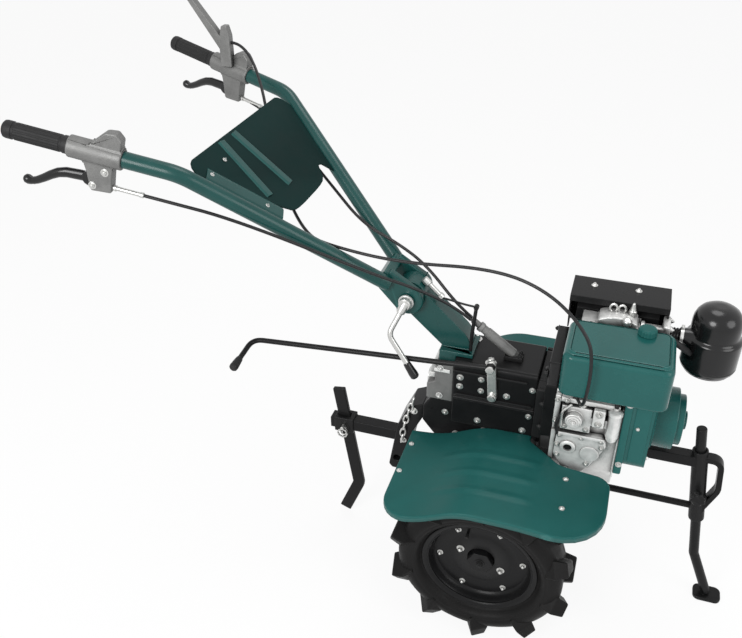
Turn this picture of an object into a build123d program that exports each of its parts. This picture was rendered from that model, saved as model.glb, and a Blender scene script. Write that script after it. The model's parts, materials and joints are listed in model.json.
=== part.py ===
import os
from math import atan2, cos, degrees, hypot, radians, sin

from build123d import *

os.makedirs("parts", exist_ok=True)

# Frame: X forward, Y left, Z up, floor at Z 0, all in millimetres
# All places below are measured from the middle of the axle
AXLE_X = 197.5
AXLE_Z = 200.0

# Wheels
WHEEL_Y = 228.0
TYRE_R = AXLE_Z
CARCASS_R = 180.0
SIDEWALL_R = 164.0
BEAD_R = 102.0
BEAD_HALF = 46.0
TREAD_HALF = 38.0
LUG_COUNT = 10
LUG_LONG = 58.0
LUG_WIDE = 31.0
LUG_SUNK = 20.0
LUG_ROOT_R = CARCASS_R - LUG_SUNK
LUG_OFFSET = 24.0
LUG_SLANT = 33.0
LUG_DRAFT = 5.0
FLANGE_R = 118.0
RIM_SHEET = 4.0
FLANGE_HALF = BEAD_HALF + RIM_SHEET
BARREL_R = BEAD_R - RIM_SHEET
DISC_HALF = 4.0
DISC_BORE_R = 30.0
HUB_R = 24.0
HUB_FIT = 0.6
HUB_PLATE_R = 64.0
HUB_PLATE = 9.0
HUB_NOSE = 14.0
SHAFT_R = 17.0
SHAFT_FIT = 0.6
SHAFT_SEAT = 28.0
AXLE_END = 78.0
AXLE_TUBE_R = 44.0
HUB_GAP = 6.0

# Gearbox
CASE_HALF = 62.0
CASE_BACK = -120.0
CASE_FRONT = 62.0
CASE_TOP = 390.0
CASE_SPLIT = 225.0
CASE_ROUND = 10.0
SEAM_Z = 298.0
SEAM_OUT = 5.0
SEAM_HIGH = 8.0
LOWER_HALF = 46.0
REAR_BACK = -180.0
REAR_STEP = 18.0
REAR_LOW = 275.0
REAR_TOP = 373.0
REAR_HALF = 56.0
FLANGE_BACK = 80.0
ARM_THICK = 10.0
ARM_WIDE = 20.0
ARM_LOW = (-31.0, 322.0)
ARM_HIGH = (-38.0, 402.0)
LEVER_R = 6.0
LEVER_BEND_R = 26.0
ROD_SIDES = 12
LEVER_GAP = 1.0
LEVER_BEND_X = -587.0
LEVER_BEND_Z = 363.0
LEVER_TIP = 75.0
LEVER_DROP = 11.0
LEVER_GRIP_R = 10.0
LEVER_GRIP_LONG = 26.0

# Engine
CRANK_Z = 302.0
ENGINE_BACK = 104.0
ENGINE_FRONT = 240.0
ENGINE_TOP = 400.0
ENGINE_FOOT = 150.0
ENGINE_NEAR = 105.0
ENGINE_FAR = 100.0
COVER_THICK = 16.0
PUMP_THICK = 20.0
FILTER_R = 14.0
PUMP_BARREL_R = 17.0
PUMP_BARREL_LONG = 14.0
CYLINDER_X = 178.0
CYLINDER_Y = 40.0
BARREL_LONG = 90.0
BARREL_WIDE = 92.0
FIN_REACH = 13.0
FIN_COUNT = 5
FIN_THICK = 4.0
HEAD_LOW = 456.0
HEAD_HIGH = 512.0
HEAD_BACK = 128.0
HEAD_FRONT = 244.0
HEAD_NEAR = -18.0
HEAD_FAR = 36.0
ROCKER_RISE = 21.0
HOUSING_HALF = 118.0
HOUSING_LOW = 239.0
HOUSING_HIGH = 424.0
HOUSING_FRONT = 298.0
HOUSING_ROUND = 24.0
STARTER_R = 66.0
STARTER_FACE_R = 54.0
STARTER_STEP = 348.0
STARTER_FRONT = 362.0
STARTER_BOSS_R = 20.0
STARTER_BOSS = 8.0
SLOT_RING_R = 36.0
SLOT_COUNT = 10
SLOT_LONG = 20.0
SLOT_WIDE = 7.0
SLOT_DEEP = 8.0

# Fuel tank
TANK_BACK = 108.0
TANK_FRONT = 313.0
TANK_NEAR = -168.0
TANK_FAR = -28.0
TANK_LOW = 434.0
TANK_HIGH = 527.0
TANK_ROUND = 20.0
TANK_EDGE = 7.0
TANK_PANEL = 4.0
CAP_X = 256.0
CAP_Y = -52.0
CAP_R = 19.0
CAP_HIGH = 15.0
BRACKET_LONG = 22.0
BRACKET_WIDE = 56.0
BRACKET_Y = -66.0

# Exhaust and intake
GUARD_BACK = 97.0
GUARD_FRONT = 295.0
GUARD_NEAR = 26.0
GUARD_FAR = 110.0
GUARD_TOP = 548.0
GUARD_LOW = 440.0
GUARD_SHEET = 3.0
GUARD_END_NEAR = 44.0
MUFFLER_Y = 72.0
MUFFLER_Z = 498.0
MUFFLER_HALF = 31.0
MUFFLER_END_GAP = 16.0
POST = 14.0
PORT_R = 14.0
INTAKE_Y = 16.0
INTAKE_Z = 496.0
INTAKE_R = 15.0
INTAKE_FLANGE = 286.0
INTAKE_PLATE = 14.0
INTAKE_PLATE_WIDE = 50.0
INTAKE_PLATE_HIGH = 58.0
CAN_X = 386.0
CAN_Y = 30.0
CAN_R = 55.0
DOME_R = 48.0
NECK_HALF = 19.0

# Fenders
FENDER_BACK = -208.0
FENDER_FRONT = 240.0
FENDER_OUT = 335.0
FENDER_LIP = 14.0
FENDER_SHEET = 3.0
FENDER_RIB = 3.0

# Handlebar joint
PIVOT_X = -232.0
PIVOT_Z = 512.0
KNUCKLE_R = 36.0
KNUCKLE_HALF = 24.0
CHEEK_GAP = 1.5
CHEEK_THICK = 18.5
CHEEK_R = 34.0
BOLT_R = 8.0
BOLT_FIT = 0.5
CRANK_BEND_R = 16.0
CRANK_KNOB_R = 10.0
CRANK_KNOB_LONG = 36.0
CRANK_CLEAR = 17.0
CRANK_LEAN = 4.0
NUT_R = 17.0
NECK_X = -123.0
NECK_WIDE = 62.0
NECK_STRAIGHT = 412.0
NECK_BEND_R = 34.0
FOOT_THICK = 10.0

# Handlebar
TUBE_R = 16.0
TUBE_START = (-274.5, 45.5, 547.6)
TUBE_BEND = (-612.0, 250.0, 834.0)
TUBE_END = (-712.0, 269.0, 858.0)
TUBE_BEND_R = 90.0
GRIP_R = 17.0
GRIP_LONG = 124.0
HOUSING_LONG = 103.0
HOUSING_R = 21.0
HOUSING_WEB = 12.0
LEVER_WIDE = 14.0
LEVER_THICK = 14.0
TRAY_SHEET = 3.0
TRAY_RIB = 5.0
TRAY_RIB_LONG = 150.0
TRAY_RIB_WIDE = 8.0
TRAY_RIB_APART = 52.0

# Rear hitch and drag stake, leaning in the side view
HITCH_HALF = 38.0
HITCH_PIN = (-252.0, 58.0)
HITCH_PIN_R = 8.5
HITCH_TUBE = 30.0
HITCH_TUBE_Z = 108.0
HITCH_TUBE_BACK = -430.0
STAKE_TOP = (-410.0, 207.0)
STAKE_BEND = (-363.0, -88.0)
STAKE_TIP = (-402.0, -186.0)
STAKE_WIDE = 30.0
STAKE_THICK = 12.0
STAKE_FIT = 0.6
STAKE_BEND_R = 30.0
SOCKET_WALL = 9.0
SOCKET_RISE = 6.0
SOCKET_SIDE = 4.0

# Front stand, leaning in the side view
BAR_Z = 205.0
BAR_HIGH = 26.0
BAR_WIDE = 28.0
LEG_TOP = (404.0, 290.0)
LEG_KINK = (456.0, -70.0)
LEG_TOE = (505.0, -188.0)
LEG_R = 11.0
LEG_FIT = 0.5
LEG_SIDES = 16
LEG_BEND_R = 30.0
SLEEVE_R = 17.0
SLEEVE_FROM = 58.0
SLEEVE_LONG = 196.0
STRAP_THICK = 12.0
STRAP_HALF = 13.0
KNOB_Z = 124.0
KNOB_R = 17.0
KNOB_THICK = 13.0
KNOB_STEM_R = 6.0
KNOB_STEM = 10.0
FOOT_PLATE = 10.0
FOOT_LONG = 62.0
FOOT_WIDE = 44.0
FOOT_ROUND = 14.0

# Cables and clutch rod
CABLE_R = 3.5
ROD_R = 11.0
ROD_LONG = 122.0
ROD_BASE_LONG = 40.0
ROD_BASE_WIDE = 30.0
ROD_FOOT = (0.0, -10.0)


def at(x, y, z):
    return (AXLE_X + x, y, AXLE_Z + z)


def side(y):
    return Plane(origin=(AXLE_X, y, AXLE_Z), x_dir=(1, 0, 0), z_dir=(0, -1, 0))


def front(x):
    return Plane(origin=(AXLE_X + x, 0, AXLE_Z), x_dir=(0, 1, 0), z_dir=(1, 0, 0))


def top(z):
    return Plane(origin=(AXLE_X, 0, AXLE_Z + z), x_dir=(1, 0, 0), z_dir=(0, 0, 1))


def rod(points, bend, radius, sides=None):
    """Bar along straight runs and round bends, of a round section or a many-sided one."""
    with BuildLine() as path:
        FilletPolyline(*points, radius=bend)
    with BuildPart() as bar:
        for run in path.edges():
            with BuildSketch(Plane(origin=run @ 0, x_dir=(0, 1, 0), z_dir=run % 0)):
                if sides:
                    RegularPolygon(radius, sides)
                else:
                    Circle(radius)
            if run.geom_type == GeomType.LINE:
                extrude(amount=run.length)
            else:
                arm = run @ 0 - run.arc_center
                hinge = Axis(run.arc_center, arm.cross(run % 0))
                revolve(axis=hinge, revolution_arc=degrees(run.length / run.radius))
    return bar.part


# Tyre carcass with two rows of slanted lugs
# columns: distance from the wheel's middle plane, radius
CARCASS = [(BEAD_HALF, BEAD_R), (BEAD_HALF, SIDEWALL_R), (TREAD_HALF, CARCASS_R)]
WHEEL_SECTION = Plane(origin=at(0, -WHEEL_Y, 0), x_dir=(0, 1, 0), z_dir=(-1, 0, 0))
WHEEL_AXIS = Axis(at(0, -WHEEL_Y, 0), (0, 1, 0))
LUG_STEP = 360.0 / LUG_COUNT
LUG_HIGH = TYRE_R - LUG_ROOT_R
with BuildPart() as tyre_right:
    with BuildSketch(WHEEL_SECTION):
        with BuildLine():
            Polyline(*[(-w, -r) for w, r in CARCASS], *[(w, -r) for w, r in reversed(CARCASS)], close=True)
        make_face()
    revolve(axis=WHEEL_AXIS)
    for hand, shift in ((-1, 0.0), (1, 0.5)):
        for count in range(LUG_COUNT):
            turn = radians(LUG_STEP * (count + shift) - 90.0)
            outward = Vector(cos(turn), 0, sin(turn))
            around = Vector(-sin(turn), 0, cos(turn))
            lug_way = around * sin(radians(LUG_SLANT)) + Vector(0, hand * cos(radians(LUG_SLANT)), 0)
            lug_root = Vector(*at(0, hand * LUG_OFFSET - WHEEL_Y, 0)) + outward * LUG_ROOT_R
            with Locations(Plane(origin=lug_root, x_dir=lug_way, z_dir=lug_way.cross(outward))):
                Wedge(
                    LUG_LONG, LUG_HIGH, LUG_WIDE,
                    LUG_DRAFT, LUG_DRAFT, LUG_LONG - LUG_DRAFT, LUG_WIDE - LUG_DRAFT,
                    align=(Align.CENTER, Align.MIN, Align.CENTER),
                )

# Rim with turned-out flanges and a disc on its middle plane
# columns: distance from the wheel's middle plane, radius
RIM = [(FLANGE_HALF, FLANGE_R), (BEAD_HALF, FLANGE_R), (BEAD_HALF, BEAD_R), (-BEAD_HALF, BEAD_R),
       (-BEAD_HALF, FLANGE_R), (-FLANGE_HALF, FLANGE_R), (-FLANGE_HALF, BARREL_R), (-DISC_HALF, BARREL_R),
       (-DISC_HALF, DISC_BORE_R), (DISC_HALF, DISC_BORE_R), (DISC_HALF, BARREL_R), (FLANGE_HALF, BARREL_R)]
with BuildPart() as rim_right:
    with BuildSketch(WHEEL_SECTION):
        with BuildLine():
            Polyline(*[(w, -r) for w, r in RIM], close=True)
        make_face()
    revolve(axis=WHEEL_AXIS)

# Hub on a hexagonal half shaft, with a plate against the disc
DISC_INNER = WHEEL_Y - DISC_HALF
HUB_FACE = AXLE_END + HUB_GAP
with BuildPart() as hub_right:
    with BuildSketch(side(-DISC_INNER + HUB_PLATE)):
        RegularPolygon(HUB_PLATE_R, 6)
    extrude(amount=HUB_PLATE)
    with BuildSketch(side(-HUB_FACE)):
        RegularPolygon(HUB_R, 6)
    extrude(amount=DISC_INNER - HUB_FACE)
    with BuildSketch(side(-DISC_INNER)):
        RegularPolygon(DISC_BORE_R - HUB_FIT, 6)
    extrude(amount=2 * DISC_HALF + HUB_NOSE)
    with BuildSketch(side(SHAFT_SEAT - AXLE_END)):
        RegularPolygon(SHAFT_R, 6)
    extrude(amount=HUB_FACE - AXLE_END + SHAFT_SEAT)

with BuildPart() as tyre_left:
    mirror(tyre_right.part, about=Plane.XZ)

with BuildPart() as rim_left:
    mirror(rim_right.part, about=Plane.XZ)

with BuildPart() as hub_left:
    mirror(hub_right.part, about=Plane.XZ)

# Upper gear case with the seam of its two halves
CASE_MIDDLE = (CASE_BACK + CASE_FRONT) / 2
with BuildPart() as gear_case_upper:
    with BuildSketch(side(0)):
        with Locations((CASE_MIDDLE, (CASE_SPLIT + CASE_TOP) / 2)):
            Rectangle(CASE_FRONT - CASE_BACK, CASE_TOP - CASE_SPLIT)
    extrude(amount=CASE_HALF, both=True)
    fillet(gear_case_upper.edges().filter_by(Axis.X).group_by(Axis.Z)[-1], CASE_ROUND)
    with BuildSketch(side(0)):
        with Locations((CASE_MIDDLE, SEAM_Z)):
            Rectangle(CASE_FRONT - CASE_BACK, SEAM_HIGH)
    extrude(amount=CASE_HALF + SEAM_OUT, both=True)

# Rear block of the gearbox, stepped on its back
with BuildPart() as gear_case_rear:
    with BuildSketch(side(0)):
        with BuildLine():
            Polyline(
                (REAR_BACK, REAR_LOW),
                (CASE_BACK, REAR_LOW),
                (CASE_BACK, REAR_TOP),
                (REAR_BACK + REAR_STEP, REAR_TOP),
                (REAR_BACK + REAR_STEP, (REAR_LOW + REAR_TOP) / 2),
                (REAR_BACK, (REAR_LOW + REAR_TOP) / 2 - REAR_STEP / 2),
                close=True,
            )
        make_face()
    extrude(amount=REAR_HALF, both=True)

# Bell housing: a tapered box behind an eight-sided flange
# columns: place across, height
FLANGE = [(60, 200), (100, 270), (100, 400), (72, 440)]
BELL = [(52, 236), (82, 284), (82, 350), (56, CASE_TOP - CASE_ROUND)]
with BuildPart() as bell_housing:
    for outline, from_x, to_x in ((BELL, CASE_FRONT, FLANGE_BACK), (FLANGE, FLANGE_BACK, ENGINE_BACK)):
        with BuildSketch(front(from_x)):
            with BuildLine():
                Polyline(*outline, *[(-y, z) for y, z in reversed(outline)], close=True)
            make_face()
        extrude(amount=to_x - from_x)

# Lower case down to the axle
# columns: place along the machine, height
LOWER_BACK = REAR_BACK - 10.0
LOWER = [(LOWER_BACK, 240), (REAR_BACK + 12, REAR_LOW), (CASE_BACK, REAR_LOW), (CASE_BACK, CASE_SPLIT),
         (CASE_FRONT, CASE_SPLIT), (CASE_FRONT, 40), (46, -46), (18, -70), (-18, -70), (-46, -46), (-78, 60),
         (-150, 150), (LOWER_BACK, 200)]
with BuildPart() as axle_case:
    with BuildSketch(side(0)):
        with BuildLine():
            Polyline(*LOWER, close=True)
        make_face()
    extrude(amount=LOWER_HALF, both=True)
    with BuildSketch(side(0)):
        Circle(AXLE_TUBE_R)
    extrude(amount=AXLE_END, both=True)
    for hand in (-1, 1):
        with BuildSketch(side(hand * AXLE_END)):
            Circle(SHAFT_R + SHAFT_FIT)
        extrude(amount=hand * (SHAFT_SEAT + SHAFT_FIT), mode=Mode.SUBTRACT)

# Shift arm on the near side of the case
ARM_RISE = (ARM_HIGH[0] - ARM_LOW[0], ARM_HIGH[1] - ARM_LOW[1])
with BuildPart() as shift_arm:
    with BuildSketch(side(-CASE_HALF)):
        with Locations(((ARM_LOW[0] + ARM_HIGH[0]) / 2, (ARM_LOW[1] + ARM_HIGH[1]) / 2)):
            SlotCenterToCenter(hypot(*ARM_RISE), ARM_WIDE, rotation=degrees(atan2(ARM_RISE[1], ARM_RISE[0])))
    extrude(amount=ARM_THICK)

# Gear lever rod with its cross handle and octagonal grip
LEVER_Y = -CASE_HALF - ARM_THICK - LEVER_GAP - LEVER_R
LEVER_BEND_AT = Vector(*at(LEVER_BEND_X, LEVER_Y, LEVER_BEND_Z))
LEVER_END = LEVER_BEND_AT + Vector(-3, -LEVER_TIP, -LEVER_DROP)
LEVER_FROM = at(ARM_HIGH[0], LEVER_Y, ARM_HIGH[1])
lever_rod = rod((LEVER_FROM, LEVER_BEND_AT, LEVER_END), LEVER_BEND_R, LEVER_R, ROD_SIDES)
with BuildPart() as gear_lever:
    add(lever_rod)
    with BuildSketch(side(-CASE_HALF - ARM_THICK)):
        with Locations(ARM_HIGH):
            RegularPolygon(ARM_WIDE / 2, 8)
    extrude(amount=2 * LEVER_R + 2 * LEVER_GAP)

with BuildPart() as gear_lever_grip:
    with BuildSketch(Plane(origin=LEVER_END, z_dir=LEVER_END - LEVER_BEND_AT)):
        RegularPolygon(LEVER_GRIP_R, 8)
    extrude(amount=LEVER_GRIP_LONG)

# Engine crankcase
# columns: place across, height
CRANKCASE = [(-ENGINE_NEAR, 215), (-75, ENGINE_FOOT), (75, ENGINE_FOOT), (ENGINE_FAR, 215),
             (ENGINE_FAR, ENGINE_TOP), (-ENGINE_NEAR, ENGINE_TOP)]
with BuildPart() as crankcase:
    with BuildSketch(front(ENGINE_BACK)):
        with BuildLine():
            Polyline(*CRANKCASE, close=True)
        make_face()
    extrude(amount=ENGINE_FRONT - ENGINE_BACK)

# Timing cover on the near side
# columns: place along the machine, height, corner radius
COVER = [(116, 306, 10), (214, 309, 10), (218, 284, 16), (190, 226, 14), (166, 192, 10), (140, 200, 16),
         (114, 244, 14)]
with BuildPart() as side_cover:
    with BuildSketch(side(-ENGINE_NEAR)):
        with BuildLine():
            FilletPolyline(*[(x, z) for x, z, r in COVER], radius=[r for x, z, r in COVER], close=True)
        make_face()
    extrude(amount=COVER_THICK)

# Injection pump block with its barrel, and the fuel filter beside it
PUMP_LOW = 318.0
PUMP_TOP = 378.0
FILTER_X = 224.0
# columns: place along the machine, height
PUMP = [(120, PUMP_LOW), (180, PUMP_LOW), (180, 338), (FILTER_X, 338), (FILTER_X, 358), (180, 358),
        (180, PUMP_TOP), (120, PUMP_TOP)]
with BuildPart() as injection_pump:
    with BuildSketch(side(-ENGINE_NEAR)):
        with BuildLine():
            Polyline(*PUMP, close=True)
        make_face()
    extrude(amount=PUMP_THICK)
    with BuildSketch(side(-ENGINE_NEAR - PUMP_THICK)):
        with Locations((146, 352)):
            RegularPolygon(PUMP_BARREL_R, 16)
    extrude(amount=PUMP_BARREL_LONG)
    with BuildSketch(top(PUMP_LOW)):
        with Locations((FILTER_X, -ENGINE_NEAR - FILTER_R)):
            RegularPolygon(FILTER_R, 12)
    extrude(amount=PUMP_TOP - PUMP_LOW)

# Cylinder barrel with cooling fins
FIN_STEP = (HEAD_LOW - ENGINE_TOP) / FIN_COUNT
with BuildPart() as cylinder:
    with BuildSketch(top(ENGINE_TOP)):
        with Locations((CYLINDER_X, CYLINDER_Y)):
            Rectangle(BARREL_LONG, BARREL_WIDE)
    extrude(amount=HEAD_LOW - ENGINE_TOP)
    for count in range(FIN_COUNT):
        with BuildSketch(top(ENGINE_TOP + FIN_STEP * (count + 0.5) - FIN_THICK / 2)):
            with Locations((CYLINDER_X, CYLINDER_Y)):
                Rectangle(BARREL_LONG + 2 * FIN_REACH, BARREL_WIDE + 2 * FIN_REACH)
        extrude(amount=FIN_THICK)

# Cylinder head with an arched rocker cover
ROCKER_BACK = 160.0
ROCKER_FRONT = 236.0
ROCKER_INSET = 4.0
ROCKER_EAVE = HEAD_HIGH + ROCKER_RISE / 2
with BuildPart() as cylinder_head:
    with BuildSketch(side(HEAD_NEAR)):
        with Locations(((HEAD_BACK + HEAD_FRONT) / 2, (HEAD_LOW + HEAD_HIGH) / 2)):
            Rectangle(HEAD_FRONT - HEAD_BACK, HEAD_HIGH - HEAD_LOW)
    extrude(amount=HEAD_NEAR - HEAD_FAR)
    with BuildSketch(side(HEAD_NEAR + ROCKER_INSET)):
        with BuildLine():
            Polyline(
                (ROCKER_FRONT, ROCKER_EAVE),
                (ROCKER_FRONT, HEAD_HIGH),
                (ROCKER_BACK, HEAD_HIGH),
                (ROCKER_BACK, ROCKER_EAVE),
            )
            ThreePointArc(
                (ROCKER_BACK, ROCKER_EAVE),
                ((ROCKER_BACK + ROCKER_FRONT) / 2, HEAD_HIGH + ROCKER_RISE),
                (ROCKER_FRONT, ROCKER_EAVE),
            )
        make_face()
    extrude(amount=HEAD_NEAR - HEAD_FAR + 2 * ROCKER_INSET)

# Blower housing with its seat flange against the crankcase
SEAT_LOW = BAR_Z + BAR_HIGH / 2 + 3.0
SEAT_TOP = HOUSING_LOW + HOUSING_ROUND
SEAT_THICK = 13.0
with BuildPart() as blower_housing:
    with BuildSketch(front(ENGINE_FRONT)):
        with Locations((0, (HOUSING_LOW + HOUSING_HIGH) / 2)):
            RectangleRounded(2 * HOUSING_HALF, HOUSING_HIGH - HOUSING_LOW, HOUSING_ROUND)
    extrude(amount=HOUSING_FRONT - ENGINE_FRONT)
    with BuildSketch(front(ENGINE_FRONT)):
        with Locations((0, (SEAT_LOW + SEAT_TOP) / 2)):
            Rectangle(2 * HOUSING_HALF, SEAT_TOP - SEAT_LOW)
    extrude(amount=SEAT_THICK)

# Recoil starter with a ring of air slots
# columns: place along the machine, radius
STARTER = [(HOUSING_FRONT, 0), (HOUSING_FRONT, STARTER_R), (STARTER_STEP, STARTER_R),
           (STARTER_STEP, STARTER_FACE_R), (STARTER_FRONT, STARTER_FACE_R), (STARTER_FRONT, 0)]
STARTER_PLANE = Plane(origin=at(STARTER_FRONT, 0, CRANK_Z), x_dir=(0, 1, 0), z_dir=(1, 0, 0))
with BuildPart() as recoil_starter:
    with BuildSketch(Plane(origin=at(0, 0, CRANK_Z), x_dir=(1, 0, 0), z_dir=(0, -1, 0))):
        with BuildLine():
            Polyline(*STARTER, close=True)
        make_face()
    revolve(axis=Axis(at(0, 0, CRANK_Z), (1, 0, 0)))
    with BuildSketch(STARTER_PLANE):
        RegularPolygon(STARTER_BOSS_R, 12)
    extrude(amount=STARTER_BOSS)
    with BuildSketch(STARTER_PLANE):
        with PolarLocations(SLOT_RING_R, SLOT_COUNT):
            Rectangle(SLOT_LONG, SLOT_WIDE)
    extrude(amount=-SLOT_DEEP, mode=Mode.SUBTRACT)

# Fuel tank with bevelled edges and a raised top panel
TANK_MIDDLE = ((TANK_BACK + TANK_FRONT) / 2, (TANK_NEAR + TANK_FAR) / 2)
TANK_LONG = TANK_FRONT - TANK_BACK
TANK_WIDE = TANK_FAR - TANK_NEAR
with BuildPart() as fuel_tank:
    with BuildSketch(top(TANK_LOW)):
        with Locations(TANK_MIDDLE):
            RectangleRounded(TANK_LONG, TANK_WIDE, TANK_ROUND)
    extrude(amount=TANK_HIGH - TANK_LOW)
    chamfer(fuel_tank.faces().sort_by(Axis.Z)[-1].edges(), TANK_EDGE)
    with BuildSketch(top(TANK_HIGH)):
        with Locations(TANK_MIDDLE):
            RectangleRounded(TANK_LONG - 3 * TANK_EDGE, TANK_WIDE - 3 * TANK_EDGE, TANK_ROUND - TANK_EDGE)
    extrude(amount=TANK_PANEL, taper=30)

with BuildPart() as tank_cap:
    with BuildSketch(top(TANK_HIGH + TANK_PANEL)):
        with Locations((CAP_X, CAP_Y)):
            RegularPolygon(CAP_R, 16)
    extrude(amount=CAP_HIGH, taper=8)

with BuildPart() as tank_brackets:
    for bracket_x in (132, 214):
        with BuildSketch(top(ENGINE_TOP)):
            with Locations((bracket_x, BRACKET_Y)):
                Rectangle(BRACKET_LONG, BRACKET_WIDE)
        extrude(amount=TANK_LOW - ENGINE_TOP)

# Muffler: an eight-sided box with two posts and a port to the head
PORT_DROP = 15.0
with BuildPart() as muffler:
    with BuildSketch(front(GUARD_BACK + MUFFLER_END_GAP)):
        with Locations((MUFFLER_Y, MUFFLER_Z)):
            RegularPolygon(MUFFLER_HALF, 8, major_radius=False, rotation=22.5)
    extrude(amount=GUARD_FRONT - GUARD_BACK - 2 * MUFFLER_END_GAP)
    with BuildSketch(top(MUFFLER_Z)):
        with Locations((140, MUFFLER_Y), (232, MUFFLER_Y)):
            Rectangle(POST, POST)
    extrude(amount=GUARD_TOP - GUARD_SHEET - MUFFLER_Z)
    with BuildSketch(side(HEAD_FAR)):
        with Locations((200, MUFFLER_Z - PORT_DROP)):
            RegularPolygon(PORT_R, 8)
    extrude(amount=HEAD_FAR - MUFFLER_Y)

# Sheet guard over the muffler
# columns: place across, height
GUARD_END = [(GUARD_END_NEAR, GUARD_TOP), (GUARD_FAR, GUARD_TOP), (GUARD_FAR, GUARD_LOW),
             (MUFFLER_Y, GUARD_LOW), (GUARD_END_NEAR, MUFFLER_Z)]
with BuildPart() as muffler_guard:
    with BuildSketch(front(GUARD_BACK)):
        with BuildLine():
            Polyline(
                (GUARD_NEAR, GUARD_TOP),
                (GUARD_FAR, GUARD_TOP),
                (GUARD_FAR, GUARD_LOW),
                (GUARD_FAR - GUARD_SHEET, GUARD_LOW),
                (GUARD_FAR - GUARD_SHEET, GUARD_TOP - GUARD_SHEET),
                (GUARD_NEAR, GUARD_TOP - GUARD_SHEET),
                close=True,
            )
        make_face()
    extrude(amount=GUARD_FRONT - GUARD_BACK)
    for end_x in (GUARD_BACK, GUARD_FRONT - GUARD_SHEET):
        with BuildSketch(front(end_x)):
            with BuildLine():
                Polyline(*GUARD_END, close=True)
            make_face()
        extrude(amount=GUARD_SHEET)

# Air cleaner: oil bowl, can and dome, with a square neck
# columns: radius, height
CAN = [(0, 410), (28, 410), (CAN_R, 436), (CAN_R, 502), (DOME_R, 512), (DOME_R, 546), (30, 570), (0, 570)]
NECK_END = CAN_X - CAN_R - 5.0
with BuildPart() as air_cleaner:
    with BuildSketch(Plane(origin=at(CAN_X, CAN_Y, 0), x_dir=(1, 0, 0), z_dir=(0, -1, 0))):
        with BuildLine():
            Polyline(*CAN, close=True)
        make_face()
    revolve(axis=Axis(at(CAN_X, CAN_Y, 0), (0, 0, 1)))
    with BuildSketch(front(NECK_END)):
        with Locations((INTAKE_Y, INTAKE_Z)):
            Rectangle(2 * NECK_HALF, 2 * NECK_HALF)
    extrude(amount=CAN_R)

# Intake pipe with its square flange
with BuildPart() as intake_pipe:
    with BuildSketch(front(HEAD_FRONT)):
        with Locations((INTAKE_Y, INTAKE_Z)):
            RegularPolygon(INTAKE_R, 16)
    extrude(amount=NECK_END - HEAD_FRONT)
    with BuildSketch(front(INTAKE_FLANGE)):
        with Locations((INTAKE_Y, INTAKE_Z)):
            Rectangle(INTAKE_PLATE_WIDE, INTAKE_PLATE_HIGH)
    extrude(amount=INTAKE_PLATE)

# Fenders: arched sheet, rounded in plan, with a turned-down lip and pressed ribs
# columns: place along the machine, height of the sheet's top
ARCH = [(FENDER_BACK - 10, 176), (-132, 185), (-42, 230), (72, 231), (FENDER_FRONT + 10, 214)]
ARCH_R = 90.0
# columns: place along the machine, place across, corner radius
PLAN = [(FENDER_BACK, -CASE_HALF, 0), (FENDER_BACK, -FENDER_OUT, 60), (FENDER_FRONT, -FENDER_OUT, 105),
        (FENDER_FRONT, -132, 30), (132, -132, 40), (CASE_FRONT, -80, 12), (CASE_FRONT, -CASE_HALF, 0)]
# columns: place across, place along of the back end and of the front end
RIBS = [(-150, -120, 110), (-206, -120, 110), (-262, -120, 110)]
RIB_WIDE = 10.0


def arch_band(y, upper, lower):
    """Upright face between the arch raised by one amount and lowered by another."""
    with BuildSketch(side(y)) as band:
        with BuildLine():
            high = FilletPolyline(*[(x, z + upper) for x, z in ARCH], radius=ARCH_R)
            low = FilletPolyline(*[(x, z - lower) for x, z in ARCH], radius=ARCH_R)
            Line(high @ 0, low @ 0)
            Line(high @ 1, low @ 1)
        make_face()
    return band.sketch


with BuildPart() as fender_hollow:
    extrude(arch_band(0, -FENDER_SHEET, 2 * FENDER_LIP), amount=FENDER_OUT)
    with BuildSketch(top(0)):
        with BuildLine():
            FilletPolyline(*[(x, y) for x, y, r in PLAN], radius=[r for x, y, r in PLAN], close=True)
        make_face()
        offset(amount=-FENDER_SHEET, mode=Mode.REPLACE)
    extrude(amount=CASE_TOP, mode=Mode.INTERSECT)

with BuildPart() as fender_ribs:
    for rib_y, rib_back, rib_front in RIBS:
        with BuildPart(mode=Mode.ADD):
            extrude(arch_band(rib_y + RIB_WIDE / 2, FENDER_RIB, 0), amount=RIB_WIDE)
            with BuildSketch(top(0)):
                with Locations(((rib_back + rib_front) / 2, rib_y)):
                    Rectangle(rib_front - rib_back, 2 * RIB_WIDE)
            extrude(amount=CASE_TOP, mode=Mode.INTERSECT)

with BuildPart() as fender_right:
    extrude(arch_band(0, 0, FENDER_LIP), amount=FENDER_OUT)
    with BuildSketch(top(0)):
        with BuildLine():
            FilletPolyline(*[(x, y) for x, y, r in PLAN], radius=[r for x, y, r in PLAN], close=True)
        make_face()
    extrude(amount=CASE_TOP, mode=Mode.INTERSECT)
    add(fender_hollow.part, mode=Mode.SUBTRACT)
    add(fender_ribs.part)

with BuildPart() as fender_left:
    mirror(fender_right.part, about=Plane.XZ)

# Engine bed: two rails under the crankcase, bolted beside the lower case
RAIL_HIGH = 28.0
RAIL_WIDE = 26.0
RAIL_LONG = 280.0
RAIL_X = 96.0
with BuildPart() as engine_bed:
    for hand in (-1, 1):
        with BuildSketch(side(hand * LOWER_HALF)):
            with Locations((RAIL_X, ENGINE_FOOT - RAIL_HIGH / 2)):
                Rectangle(RAIL_LONG, RAIL_HIGH)
        extrude(amount=-hand * RAIL_WIDE)

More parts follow.
